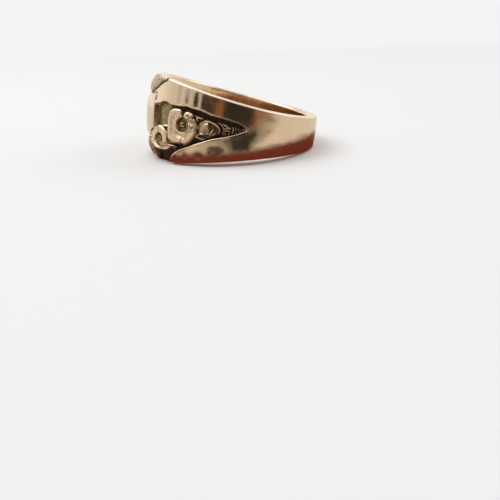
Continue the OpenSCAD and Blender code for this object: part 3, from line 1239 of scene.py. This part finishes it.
    def tip_curls(self, spot: np.ndarray) -> tuple[np.ndarray, np.ndarray]:
        """Overlapping curls and ticks that run out to the tip."""
        height = Stroke.all(spot, self.tip, self.root)
        return height, Stroke.shade(height)

    def build(self) -> list[bpy.types.Object]:
        """Makes the near spray and its half-turned copy.

        Returns:
            The two sprays, in place in metres.
        """
        sheets = (
            ((6.40, -2.20), (10.95, 1.90), self.large_bloom),
            ((2.85, -3.50), (7.10, -0.40), self.small_bloom),
            ((4.90, -2.95), (8.20, 0.00), self.small_curls),
            ((10.15, -1.35), (13.50, 1.45), self.rolled_leaf),
            ((12.75, -0.55), (16.35, 1.00), self.tip_curls),
        )
        parts = [Patch(self.form, low, high).build(shape) for low, high, shape in sheets]
        near = Bench.join(parts, "spray_near")
        with Bench.editing(near):
            bpy.ops.mesh.normals_make_consistent(inside=False)
        far = Bench.copy(near, "spray_far")
        far.data.name = "spray_far"
        far.data.transform(Matrix.Rotation(math.pi, 4, "X"))
        for spray in (near, far):
            Bench.mark(spray, Mark.SATIN, np.ones(len(spray.data.vertices)))
            spray.data.transform(self.lie.matrix())
            Bench.smooth(spray, self.sharp)
        return [near, far]


@dataclass
class Nodes:
    """Adds nodes to one tree and links them."""

    tree: bpy.types.NodeTree

    @classmethod
    def of_material(cls, material: bpy.types.Material) -> "Nodes":
        """Empties a material's tree and starts anew in it."""
        material.use_nodes = True
        material.node_tree.nodes.clear()
        return cls(material.node_tree)

    @classmethod
    def group(cls, name: str, inputs: dict[str, str], outputs: dict[str, str]) -> "Nodes":
        """Starts a node group.

        Args:
            name: The group's name.
            inputs: Names of its inputs, each with the kind of its value.
            outputs: Names of its outputs, likewise.

        Returns:
            The nodes of the new group, still empty.
        """
        tree = bpy.data.node_groups.new(name, "ShaderNodeTree")
        for way, sockets in (("INPUT", inputs), ("OUTPUT", outputs)):
            for socket, kind in sockets.items():
                tree.interface.new_socket(socket, in_out=way, socket_type=f"NodeSocket{kind}")
        return cls(tree)

    def add(self, kind: str, **settings: object) -> bpy.types.Node:
        """Adds a node.

        Args:
            kind: Blender's name of the node type.
            settings: Properties of the node, or its inputs by name with spaces as underscores.

        Returns:
            The node.
        """
        node = self.tree.nodes.new(kind)
        for name, value in settings.items():
            if hasattr(node, name):
                setattr(node, name, value)
            else:
                self.feed(node, name.replace("_", " "), value)
        return node

    def feed(self, node: bpy.types.Node, socket: str | int, value: object) -> None:
        """Sets an input to a value, or links it where the value is an output."""
        if isinstance(value, bpy.types.NodeSocket):
            self.tree.links.new(value, node.inputs[socket])
        else:
            node.inputs[socket].default_value = value

    def mark(self, mark: Mark) -> Socket:
        """Reads one of the numbers that each point carries."""
        return self.add("ShaderNodeAttribute", attribute_name=mark.value).outputs["Fac"]

    def math(self, operation: str, first: object, second: object = 0.0) -> Socket:
        """Adds a Math node and returns its value."""
        node = self.tree.nodes.new("ShaderNodeMath")
        node.operation = operation
        self.feed(node, 0, first)
        self.feed(node, 1, second)
        return node.outputs[0]

    def vector(self, operation: str, first: object, second: object = None) -> Socket:
        """Adds a Vector Math node and returns its number, or else its vector."""
        node = self.add("ShaderNodeVectorMath", operation=operation)
        self.feed(node, 0, first)
        if second is not None:
            self.feed(node, 1, second)
        gives_number = operation in ("LENGTH", "DISTANCE", "DOT_PRODUCT")
        return node.outputs["Value" if gives_number else "Vector"]

    def mix(self, factor: object, first: object, second: object) -> Socket:
        """Mixes two colours."""
        node = self.tree.nodes.new("ShaderNodeMix")
        node.data_type = "RGBA"
        self.feed(node, 0, factor)
        self.feed(node, 6, first)
        self.feed(node, 7, second)
        return node.outputs[2]

    def span(
        self, value: object, low: float, high: float, first: float = 0.0, last: float = 1.0
    ) -> Socket:
        """Maps a value from one range to another, held at both ends."""
        node = self.tree.nodes.new("ShaderNodeMapRange")
        node.clamp = True
        for socket, number in enumerate((value, low, high, first, last)):
            self.feed(node, socket, number)
        return node.outputs[0]

    def noise(
        self, vector: object, scale: float, detail: float = 3.0, rough: float = 0.5
    ) -> Socket:
        """Adds a noise texture and returns its value."""
        node = self.tree.nodes.new("ShaderNodeTexNoise")
        self.feed(node, "Vector", vector)
        node.inputs["Scale"].default_value = scale
        node.inputs["Detail"].default_value = detail
        node.inputs["Roughness"].default_value = rough
        return node.outputs[0]

    def shapes(self, name: Mirrored, place: Socket) -> bpy.types.Node:
        """Adds the group of painted dark reflection shapes at a position."""
        node = self.add("ShaderNodeGroup", node_tree=bpy.data.node_groups[name.value])
        self.feed(node, 0, place)
        return node

    def shader_mix(
        self, factor: object, first: bpy.types.Node, second: bpy.types.Node
    ) -> bpy.types.Node:
        """Mixes the shaders that two nodes give."""
        node = self.tree.nodes.new("ShaderNodeMixShader")
        self.feed(node, 0, factor)
        self.feed(node, 1, first.outputs[0])
        self.feed(node, 2, second.outputs[0])
        return node

    def finish(self, shader: bpy.types.Node, kind: str = "ShaderNodeOutputMaterial") -> None:
        """Leads a shader to the tree's output."""
        self.feed(self.tree.nodes.new(kind), 0, shader.outputs[0])


@dataclass(frozen=True)
class OldGold:
    """Worn pale gold with brown tarnish left in its hollows, and near-black painted shade where marked.

    gloss and dull are the roughness of polished and of tarnished gold, and satin is what the
    cast relief adds to it. The bump gives only scratches, pits and fine lumps: the scale of each
    tells how fine it is, and its share how much it counts.
    """

    clean: Colour = (0.84, 0.67, 0.47, 1.0)
    rosy: Colour = (0.83, 0.62, 0.43, 1.0)
    film: Colour = (0.26, 0.195, 0.082, 1.0)
    crust_and_shade: Colour = (0.035, 0.020, 0.010, 1.0)
    gloss: float = 0.13
    dull: float = 0.50
    satin: float = 0.21
    bump_share: float = 0.35
    bump_depth: float = 0.00003
    mottle_scale: float = 420.0
    break_scale: float = 2600.0
    scratch_scale: float = 900.0
    scratch_turn: tuple[float, float, float] = (0.3, 0.5, 0.9)
    scratch_stretch: tuple[float, float, float] = (1.0, 9.0, 3.0)
    scratch_share: float = 0.35
    pit_scale: float = 5200.0
    pit_share: float = 0.25
    lump_scale: float = 1100.0
    lump_share: float = 0.9

    def wear(self) -> bpy.types.NodeTree:
        """Node group that gives mottling and the height of fine scratches and pits."""
        nodes = Nodes.group(
            "worn_surface", {"Vector": "Vector"}, {"Mottle": "Float", "Height": "Float"}
        )
        start = nodes.add("NodeGroupInput")
        end = nodes.add("NodeGroupOutput")
        vector = start.outputs[0]
        along = nodes.add(
            "ShaderNodeMapping",
            Vector=vector,
            Rotation=self.scratch_turn,
            Scale=self.scratch_stretch,
        )
        thin = nodes.span(nodes.noise(along.outputs[0], self.scratch_scale, 2.0), 0.62, 0.70)
        scratches = nodes.math("MULTIPLY", thin, self.scratch_share)
        pits = nodes.math("MULTIPLY", nodes.noise(vector, self.pit_scale, 2.0), self.pit_share)
        lumps = nodes.math("MULTIPLY", nodes.noise(vector, self.lump_scale, 2.0), self.lump_share)
        height = nodes.math("SUBTRACT", nodes.math("ADD", pits, lumps), scratches)
        nodes.feed(end, 0, nodes.noise(vector, self.mottle_scale, 4.0, 0.6))
        nodes.feed(end, 1, height)
        return nodes.tree

    def hollows(self) -> bpy.types.NodeTree:
        """Node group that breaks the marked tarnish and painted shade up and gives its mask."""
        nodes = Nodes.group(
            "tarnish_and_shade_in_hollows", {"Vector": "Vector", "Marked": "Float"}, {"Mask": "Float"}
        )
        start = nodes.add("NodeGroupInput")
        end = nodes.add("NodeGroupOutput")
        vector, marked = start.outputs[0], start.outputs[1]
        lumps = nodes.noise(vector, self.break_scale, 4.0, 0.6)
        break_up = nodes.span(lumps, 0.3, 0.7, -0.22, 0.22)
        broken = nodes.math("MULTIPLY", break_up, nodes.span(marked, 0.05, 0.4))
        nodes.feed(end, 0, nodes.span(nodes.math("ADD", marked, broken), 0.05, 1.0))
        return nodes.tree

    def material(self) -> bpy.types.Material:
        """Builds the gold.

        Returns:
            The material.
        """
        gold = bpy.data.materials.new("old_gold")
        nodes = Nodes.of_material(gold)
        place = nodes.add("ShaderNodeTexCoord").outputs["Object"]
        wear = nodes.add("ShaderNodeGroup", node_tree=self.wear())
        nodes.feed(wear, 0, place)
        mottle, scratches = wear.outputs[0], wear.outputs[1]
        hollows = nodes.add("ShaderNodeGroup", node_tree=self.hollows())
        nodes.feed(hollows, 0, place)
        nodes.feed(hollows, 1, nodes.mark(Mark.TARNISH_AND_SHADE))
        mask = hollows.outputs[0]
        clean = nodes.mix(nodes.span(mottle, 0.35, 0.65), self.clean, self.rosy)
        filmed = nodes.mix(nodes.span(mask, 0.05, 0.55), clean, self.film)
        shine = nodes.span(mottle, 0.3, 0.7, self.gloss - 0.03, self.gloss + 0.05)
        cast = nodes.math("MULTIPLY", nodes.mark(Mark.SATIN), self.satin)
        shine = nodes.math("ADD", shine, cast)
        rough = nodes.math("ADD", shine, nodes.math("MULTIPLY", mask, self.dull - self.gloss))
        bump = nodes.add("ShaderNodeBump", Height=scratches)
        bump.inputs["Strength"].default_value = self.bump_share
        bump.inputs["Distance"].default_value = self.bump_depth
        shader = nodes.add("ShaderNodeBsdfPrincipled")
        # Near-black for the thickest tarnish and for painted shade.
        nodes.feed(shader, "Base Color", nodes.mix(nodes.span(mask, 0.60, 0.95), filmed, self.crust_and_shade))
        nodes.feed(shader, "Metallic", nodes.span(mask, 0.5, 1.0, 1.0, 0.6))
        nodes.feed(shader, "Roughness", rough)
        nodes.feed(shader, "Normal", bump.outputs[0])
        nodes.finish(shader)
        return gold


@dataclass(frozen=True)
class SoftBox:
    """Square soft light: where it hangs and its side in metres, and its power in watts."""

    name: str
    place: tuple[float, float, float]
    size: float
    watts: float

    def hang(self, target: Vector) -> None:
        """Hangs the light so that it faces a point."""
        Bench.clear()
        bpy.ops.object.light_add(type="AREA", location=self.place)
        lamp = bpy.context.active_object
        lamp.name = lamp.data.name = self.name
        lamp.data.size = self.size
        lamp.data.energy = self.watts
        lamp.rotation_mode = "QUATERNION"
        lamp.rotation_quaternion = (Vector(self.place) - target).to_track_quat("Z", "Y")


@dataclass(frozen=True)
class Studio:
    """Pale floor, soft light and a camera at the photograph's angle, lengths in metres.

    The camera sees a plain pale floor and room. The gold alone sees painted reflections, which
    the floor and a disc give out to glossy rays only: a warm floor in front of the ring, a golden
    shade elsewhere round it and in its hole, dark shapes in front and a dark disc for the camera.
    A row of shapes holds a place from left to right, between 0 and 1, and a colour whose last
    number is its strength. Two numbers of a reach are the distances from the ring's middle, or
    the shares, between which a tone changes.
    """

    paper: float = 0.90
    floor_r: float = 2.0
    disc_r: float = 0.2
    paper_reach: Reach = (0.05, 0.30)
    matte: Colour = (0.90, 0.90, 0.90, 1.0)
    # Painted reflection tones that the floor gives out to glossy rays only.
    mirrored: Colour = (0.76, 0.73, 0.67, 1.0)
    warm: Colour = (0.16, 0.036, 0.025, 1.0)
    warm_reach: Reach = (0.0138, 0.0162)
    warm_turn: float = 5.0
    warm_sector: Reach = (-0.85, 0.20)
    shaded: Colour = (0.26, 0.18, 0.11, 1.0)
    shaded_reach: Reach = (0.0106, 0.0180)
    hole_middle: Colour = (0.46, 0.33, 0.22, 1.0)
    hole_edge: Colour = (0.15, 0.07, 0.035, 1.0)
    hole_reach: Reach = (0.0, 0.0085)
    band_reach: Reach = (0.0085, 0.0100)
    close_reach: Reach = (0.0138, 0.0156)
    widen_reach: Reach = (0.0165, 0.0230)
    far_reach: Reach = (0.030, 0.042)
    fade_reach: Reach = (0.10, 0.20)
    widen: float = 1.9
    middle: float = 0.56
    wobble: float = 0.05
    facing: Reach = (0.1, 0.3)
    # A dark painted reflection blot on the floor close in front of the ring.
    spot_at: tuple[float, float] = (0.0158, -0.0045)
    spot_r: float = 0.0031
    spot_share: float = 0.95
    spot: Colour = (0.055, 0.030, 0.018, 1.0)
    lens_r: float = 0.096
    lens_gap: float = 0.004
    lens_heights: Reach = (0.030, 0.052)
    target: tuple[float, float, float] = (0.0, 0.0, 0.004)
    daylight: Colour = (1.0, 0.98, 0.95, 1.0)
    ceiling: Colour = (0.80, 0.80, 0.80, 1.0)
    dim: Colour = (0.30, 0.26, 0.22, 1.0)
    dim_reach: Reach = (-0.5, 0.48)
    dim_share: float = 0.62
    dim_heights: Reach = (0.35, 0.75)
    shadow_share: float = 0.38
    black: Colour = (0.0, 0.0, 0.0, 1.0)
    lamps: tuple[SoftBox, ...] = (
        SoftBox("key_light", (-0.30, 0.12, 0.45), 0.40, 1.5),
        SoftBox("fill_light", (0.42, -0.05, 0.28), 0.30, 0.4),
        SoftBox("top_light", (0.02, 0.06, 0.50), 0.15, 0.25),
    )
    # Painted reflection shapes of the dark things in front of the ring, close by and farther off.
    close_shapes: Shapes = (
        (0.12, (0.40, 0.32, 0.22, 0.0)), (0.30, (0.36, 0.28, 0.18, 0.3)),
        (0.36, (0.26, 0.21, 0.13, 0.5)), (0.40, (0.36, 0.26, 0.16, 0.5)),
        (0.44, (0.30, 0.26, 0.16, 0.6)), (0.49, (0.04, 0.04, 0.026, 1.0)),
        (0.63, (0.04, 0.036, 0.024, 1.0)), (0.67, (0.22, 0.18, 0.11, 0.6)),
        (0.72, (0.40, 0.32, 0.22, 0.0)),
    )
    front_shapes: Shapes = (
        (0.01, (0.36, 0.29, 0.20, 0.0)), (0.08, (0.33, 0.27, 0.18, 0.55)),
        (0.13, (0.32, 0.24, 0.16, 0.7)), (0.17, (0.16, 0.12, 0.08, 0.9)),
        (0.21, (0.04, 0.035, 0.026, 1.0)), (0.29, (0.03, 0.026, 0.02, 1.0)),
        (0.32, (0.26, 0.12, 0.055, 1.0)), (0.37, (0.26, 0.12, 0.055, 1.0)),
        (0.40, (0.03, 0.026, 0.02, 1.0)), (0.67, (0.03, 0.026, 0.02, 1.0)),
        (0.72, (0.22, 0.10, 0.05, 1.0)), (0.83, (0.30, 0.17, 0.10, 0.8)),
        (0.85, (0.17, 0.12, 0.07, 0.9)), (0.87, (0.17, 0.12, 0.07, 0.9)),
        (0.89, (0.30, 0.22, 0.15, 0.2)), (0.94, (0.30, 0.22, 0.15, 0.0)),
    )

    def painted_shapes_in_front(
        self, front: Vector, name: Mirrored, shapes: Shapes, widen: float = 1.0
    ) -> bpy.types.NodeTree:
        """Node group of painted reflections: dark shapes in front of the ring, by their direction from
        it.

        Args:
            front: Level direction from the ring to the camera.
            name: Which of the two groups it is.
            shapes: Place from left to right, between 0 and 1, with colour and strength.
            widen: How many times wider the shapes are farther off than close by.

        Returns:
            The group, with a position in metres as its input.
        """
        nodes = Nodes.group(name.value, {"Vector": "Vector"}, {"Color": "Color", "Mask": "Float"})
        start = nodes.add("NodeGroupInput")
        end = nodes.add("NodeGroupOutput")
        level = nodes.vector("MULTIPLY", start.outputs[0], (1.0, 1.0, 0.0))
        way = nodes.vector("NORMALIZE", level)
        sideways = nodes.vector("DOT_PRODUCT", way, (-front.y, front.x, 0.0))
        ahead = nodes.vector("DOT_PRODUCT", way, (front.x, front.y, 0.0))
        lumps = nodes.noise(start.outputs[0], 55.0, 2.0)
        wobble = nodes.span(lumps, 0.3, 0.7, -self.wobble, self.wobble)
        place = nodes.math("ADD", nodes.math("MULTIPLY", sideways, 0.5), 0.5)
        wide = nodes.span(nodes.vector("LENGTH", level), *self.widen_reach, 1.0, widen)
        off_middle = nodes.math("SUBTRACT", nodes.math("ADD", place, wobble), self.middle)
        ramped = nodes.add("ShaderNodeValToRGB")
        nodes.feed(ramped, 0, nodes.math("ADD", nodes.math("DIVIDE", off_middle, wide), self.middle))
        stops = ramped.color_ramp.elements
        while len(stops) < len(shapes):
            stops.new(1.0)
        for stop, (at, colour) in zip(stops, shapes):
            stop.position = at
            stop.color = colour
        nodes.feed(end, 0, ramped.outputs[0])
        facing = nodes.span(ahead, *self.facing)
        nodes.feed(end, 1, nodes.math("MULTIPLY", ramped.outputs[1], facing))
        return nodes.tree

    def floor(self, front: Vector) -> bpy.types.Object:
        """Lays the plain pale floor, which gives the gold painted reflections, warm and dark close by.

        Args:
            front: Level direction from the ring to the camera.

        Returns:
            The floor.
        """
        Bench.clear()
        bpy.ops.mesh.primitive_circle_add(vertices=96, radius=self.disc_r, fill_type="NGON")
        floor = bpy.context.active_object
        floor.name = floor.data.name = "studio_floor"
        with Bench.editing(floor):
            bpy.ops.mesh.select_mode(type="EDGE")
            bpy.ops.mesh.region_to_loop()
            bpy.ops.mesh.extrude_edges_move()
            wide = self.floor_r / self.disc_r
            bpy.ops.transform.resize(value=(wide, wide, 1.0), center_override=(0.0, 0.0, 0.0))
        floor.data.materials.append(self.pale_floor_and_painted_reflections(front))
        return floor

    def pale_floor_and_painted_reflections(self, front: Vector) -> bpy.types.Material:
        """Matte white close by and as bright as the room farther off, glowing with painted reflections
        for glossy rays.
        """
        pale = bpy.data.materials.new("pale_floor_and_painted_reflections")
        nodes = Nodes.of_material(pale)
        place = nodes.add("ShaderNodeTexCoord").outputs["Object"]
        away = nodes.vector("LENGTH", place)
        matte = nodes.add("ShaderNodeBsdfDiffuse", Color=self.matte)
        paper = nodes.add("ShaderNodeEmission", Color=(self.paper, self.paper, self.paper, 1.0))
        seen = nodes.shader_mix(nodes.span(away, *self.paper_reach), matte, paper)
        tint = self.shapes_on_floor(nodes, place, away, self.tones(nodes, place, away, front))
        # A dark painted reflection blot on the floor near the ring.
        ahead, aside = self.spot_at
        spot_at = (ahead * front.x - aside * front.y, ahead * front.y + aside * front.x, 0.0)
        from_spot = nodes.vector("DISTANCE", place, spot_at)
        blot = nodes.span(from_spot, self.spot_r * 0.5, self.spot_r, self.spot_share, 0.0)
        painted_reflection = nodes.add("ShaderNodeEmission", Color=nodes.mix(blot, tint, self.spot))
        # Glossy rays see the floor glow with the painted reflections; other rays see it plain.
        glossy = nodes.add("ShaderNodeLightPath").outputs["Is Glossy Ray"]
        nodes.finish(nodes.shader_mix(glossy, seen, painted_reflection))
        return pale

    def tones(self, nodes: Nodes, place: Socket, away: Socket, front: Vector) -> Socket:
        """Painted reflection tones of the floor, which glossy rays alone see.

        Args:
            nodes: The floor's nodes.
            place: Position on the floor.
            away: Distance from the ring's middle.
            front: Level direction from the ring to the camera.

        Returns:
            The colour.
        """
        warm = nodes.mix(nodes.span(away, *self.warm_reach), self.warm, self.mirrored)
        shaded = nodes.mix(nodes.span(away, *self.shaded_reach), self.shaded, self.mirrored)
        hole = nodes.mix(nodes.span(away, *self.hole_reach), self.hole_middle, self.hole_edge)
        toward = Matrix.Rotation(math.radians(self.warm_turn), 3, "Z") @ front
        sector = nodes.vector("DOT_PRODUCT", nodes.vector("NORMALIZE", place), toward)
        tint = nodes.mix(nodes.span(sector, *self.warm_sector), shaded, warm)
        return nodes.mix(nodes.span(away, *self.band_reach), hole, tint)

    def shapes_on_floor(self, nodes: Nodes, place: Socket, away: Socket, tint: Socket) -> Socket:
        """Lays the painted dark reflection shapes over the floor's painted tones, close by and farther
        off.

        Args:
            nodes: The floor's nodes.
            place: Position on the floor.
            away: Distance from the ring's middle.
            tint: The tones so far.

        Returns:
            The colour.
        """
        near = nodes.shapes(Mirrored.CLOSE, place)
        wide = nodes.shapes(Mirrored.FRONT, place)
        near_mask = nodes.math("MULTIPLY", near.outputs[1], nodes.span(away, *self.close_reach))
        near_mask = nodes.math("MULTIPLY", near_mask, nodes.span(away, *self.far_reach, 1.0, 0.0))
        tint = nodes.mix(near_mask, tint, near.outputs[0])
        wide_mask = nodes.math("MULTIPLY", wide.outputs[1], nodes.span(away, *self.far_reach))
        wide_mask = nodes.math("MULTIPLY", wide_mask, nodes.span(away, *self.fade_reach, 1.0, 0.0))
        return nodes.mix(wide_mask, tint, wide.outputs[0])

    def sky(self, front: Vector) -> None:
        """Lights the room softly, bright at the sides, behind and above, darker in front.

        Args:
            front: Level direction from the ring to the camera.
        """
        world = bpy.data.worlds.new("soft_room")
        bpy.context.scene.world = world
        world.use_nodes = True
        world.node_tree.nodes.clear()
        nodes = Nodes(world.node_tree)
        way = nodes.add("ShaderNodeTexCoord").outputs["Generated"]
        toward = nodes.vector("DOT_PRODUCT", way, (front.x, front.y, 0.0))
        dark = nodes.span(toward, *self.dim_reach, 0.0, self.dim_share)
        split = nodes.add("ShaderNodeSeparateXYZ")
        nodes.feed(split, 0, way)
        low = nodes.span(split.outputs[2], *self.dim_heights, 1.0, 0.0)
        over = nodes.span(split.outputs[2], 0.0, 0.8)
        lit = nodes.mix(over, self.daylight, self.ceiling)
        room = nodes.mix(nodes.math("MULTIPLY", dark, low), lit, self.dim)
        path = nodes.add("ShaderNodeLightPath")
        softer = nodes.math("MULTIPLY", path.outputs["Is Diffuse Ray"], self.shadow_share)
        room = nodes.mix(softer, room, self.black)
        paper = (self.paper, self.paper, self.paper, 1.0)
        seen = nodes.mix(path.outputs["Is Camera Ray"], room, paper)
        light = nodes.add("ShaderNodeBackground", Color=seen)
        nodes.finish(light, "ShaderNodeOutputWorld")

    def lens(self, view: "View") -> None:
        """Puts a disc where the camera's front is that glows with painted dark reflections, which the
        gold alone sees.
        """
        pose = view.pose()
        Bench.clear()
        bpy.ops.mesh.primitive_circle_add(vertices=64, radius=self.lens_r, fill_type="NGON")
        disc = bpy.context.active_object
        disc.name = disc.data.name = "painted_reflection_disc"
        back = pose.to_3x3() @ Vector((0.0, 0.0, 1.0))
        middle = pose.translation + back * self.lens_gap
        aim = (pose.translation - Vector(self.target)).normalized()
        disc.data.transform(aim.to_track_quat("Z", "Y").to_matrix().to_4x4())
        disc.data.transform(Matrix.Translation(middle))
        disc.data.materials.append(self.painted_camera_reflection(middle))
        disc.visible_camera = False
        disc.visible_diffuse = False
        disc.visible_shadow = False

    def painted_camera_reflection(self, middle: Vector) -> bpy.types.Material:
        """Painted dark reflection shapes that fade out towards the disc's edge and upwards.

        Args:
            middle: The disc's middle.

        Returns:
            The material.
        """
        black = bpy.data.materials.new("painted_camera_reflection")
        nodes = Nodes.of_material(black)
        place = nodes.add("ShaderNodeTexCoord").outputs["Object"]
        shapes = nodes.shapes(Mirrored.FRONT, place)
        # The disc glows with the painted dark reflection shapes.
        dark = nodes.add("ShaderNodeEmission", Color=shapes.outputs[0])
        out = nodes.vector("DISTANCE", place, tuple(middle))
        seen = nodes.span(out, self.lens_r * 0.80, self.lens_r, 1.0, 0.0)
        split = nodes.add("ShaderNodeSeparateXYZ")
        nodes.feed(split, 0, place)
        low = nodes.span(split.outputs[2], *self.lens_heights, 1.0, 0.0)
        seen = nodes.math("MULTIPLY", nodes.math("MULTIPLY", seen, low), shapes.outputs[1])
        nodes.finish(nodes.shader_mix(seen, nodes.add("ShaderNodeBsdfTransparent"), dark))
        return black

    def camera(self, view: "View") -> None:
        """Sets the camera up."""
        Bench.clear()
        bpy.ops.object.camera_add()
        camera = bpy.context.active_object
        camera.name = camera.data.name = "photo_camera"
        camera.data.sensor_width = view.sensor
        camera.data.lens = view.lens()
        camera.data.clip_start = view.nearest
        camera.data.clip_end = view.farthest
        camera.matrix_world = view.pose()
        bpy.context.scene.camera = camera

    def build(self, view: "View") -> None:
        """Builds floor, light and camera."""
        front = view.front()
        self.painted_shapes_in_front(front, Mirrored.FRONT, self.front_shapes)
        self.painted_shapes_in_front(front, Mirrored.CLOSE, self.close_shapes, self.widen)
        self.floor(front)
        self.sky(front)
        for lamp in self.lamps:
            lamp.hang(Vector(self.target))
        self.lens(view)
        self.camera(view)
        bpy.context.scene.view_settings.view_transform = "Standard"


@dataclass(frozen=True)
class View:
    """The photograph's view of the ring, fitted to its outline.

    Lengths are in mm and angles in degrees, but nearest and farthest are the camera's limits of
    sight in metres. The pixels are those of a square picture.
    """

    frame_px: float = 500.0
    focal_px: float = 545.99
    aim_x_px: float = 238.85
    aim_y_px: float = 117.74
    distance: float = 70.0
    elevation: float = 8.69
    ring_turn: float = 9.02
    roll: float = -2.8
    aim_height: float = 3.6
    shift: float = 0.061
    sensor: float = 36.0
    nearest: float = 0.002
    farthest: float = 10.0

    def lens(self) -> float:
        """Focal length that goes with the sensor."""
        return self.sensor * self.focal_px / self.frame_px

    def level(self) -> Matrix:
        """Turn of the whole view about the ring's upright axis."""
        return Matrix.Rotation(-math.radians(self.ring_turn), 3, "Z")

    def front(self) -> Vector:
        """Level direction from the ring to the camera."""
        return self.level() @ Vector((0.0, -1.0, 0.0))

    def pose(self) -> Matrix:
        """Place and turn of the camera.

        Returns:
            The camera's matrix, in metres.
        """
        lift = math.radians(self.elevation)
        back = Vector((0.0, -math.cos(lift), math.sin(lift)))
        eye = Vector((0.0, 0.0, self.aim_height)) + back * self.distance
        mid = self.frame_px / 2
        yaw = math.atan((self.aim_x_px - mid) / self.focal_px)
        pitch = math.atan((mid - self.aim_y_px) / self.focal_px * math.cos(yaw))
        ahead = Matrix.Rotation(yaw, 3, "Z") @ -back
        right = ahead.cross(Vector((0.0, 0.0, 1.0))).normalized()
        above = right.cross(ahead)
        tipped = ahead * math.cos(pitch) - above * math.sin(pitch)
        above = right.cross(tipped)
        turn = math.radians(self.roll)
        rolled_right = right * math.cos(turn) + above * math.sin(turn)
        rolled_above = -right * math.sin(turn) + above * math.cos(turn)
        level = self.level()
        axes = [level @ rolled_right, level @ rolled_above, level @ -tipped]
        place = (level @ eye + Vector((self.shift, 0.0, 0.0))) * MM
        rows = [[axis[row] for axis in axes] + [place[row]] for row in range(3)]
        return Matrix(rows + [[0.0, 0.0, 0.0, 1.0]])


def main() -> None:
    """Builds the ring and its studio in order."""
    logging.basicConfig(level=logging.INFO, format="%(name)s: %(message)s")
    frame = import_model()
    form = BandForm()
    lie = Lie.from_record(frame["record"], shift=0.061, mid_half_width=form.mid_half_width)
    gold = OldGold().material()
    band = Band(form, lie, Carving(form)).build()
    pieces = [band] + Spray(form, lie).build()
    for piece in pieces:
        Bench.rest(piece)
        piece.data.materials.clear()
        piece.data.materials.append(gold)
        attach(piece, BODY)
        triangles = sum(len(face.vertices) - 2 for face in piece.data.polygons)
        LOG.info("%s: %d points, %d triangles", piece.name, len(piece.data.vertices), triangles)
    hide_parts(NODE)
    Studio().build(View())


if __name__ == "__main__":
    main()
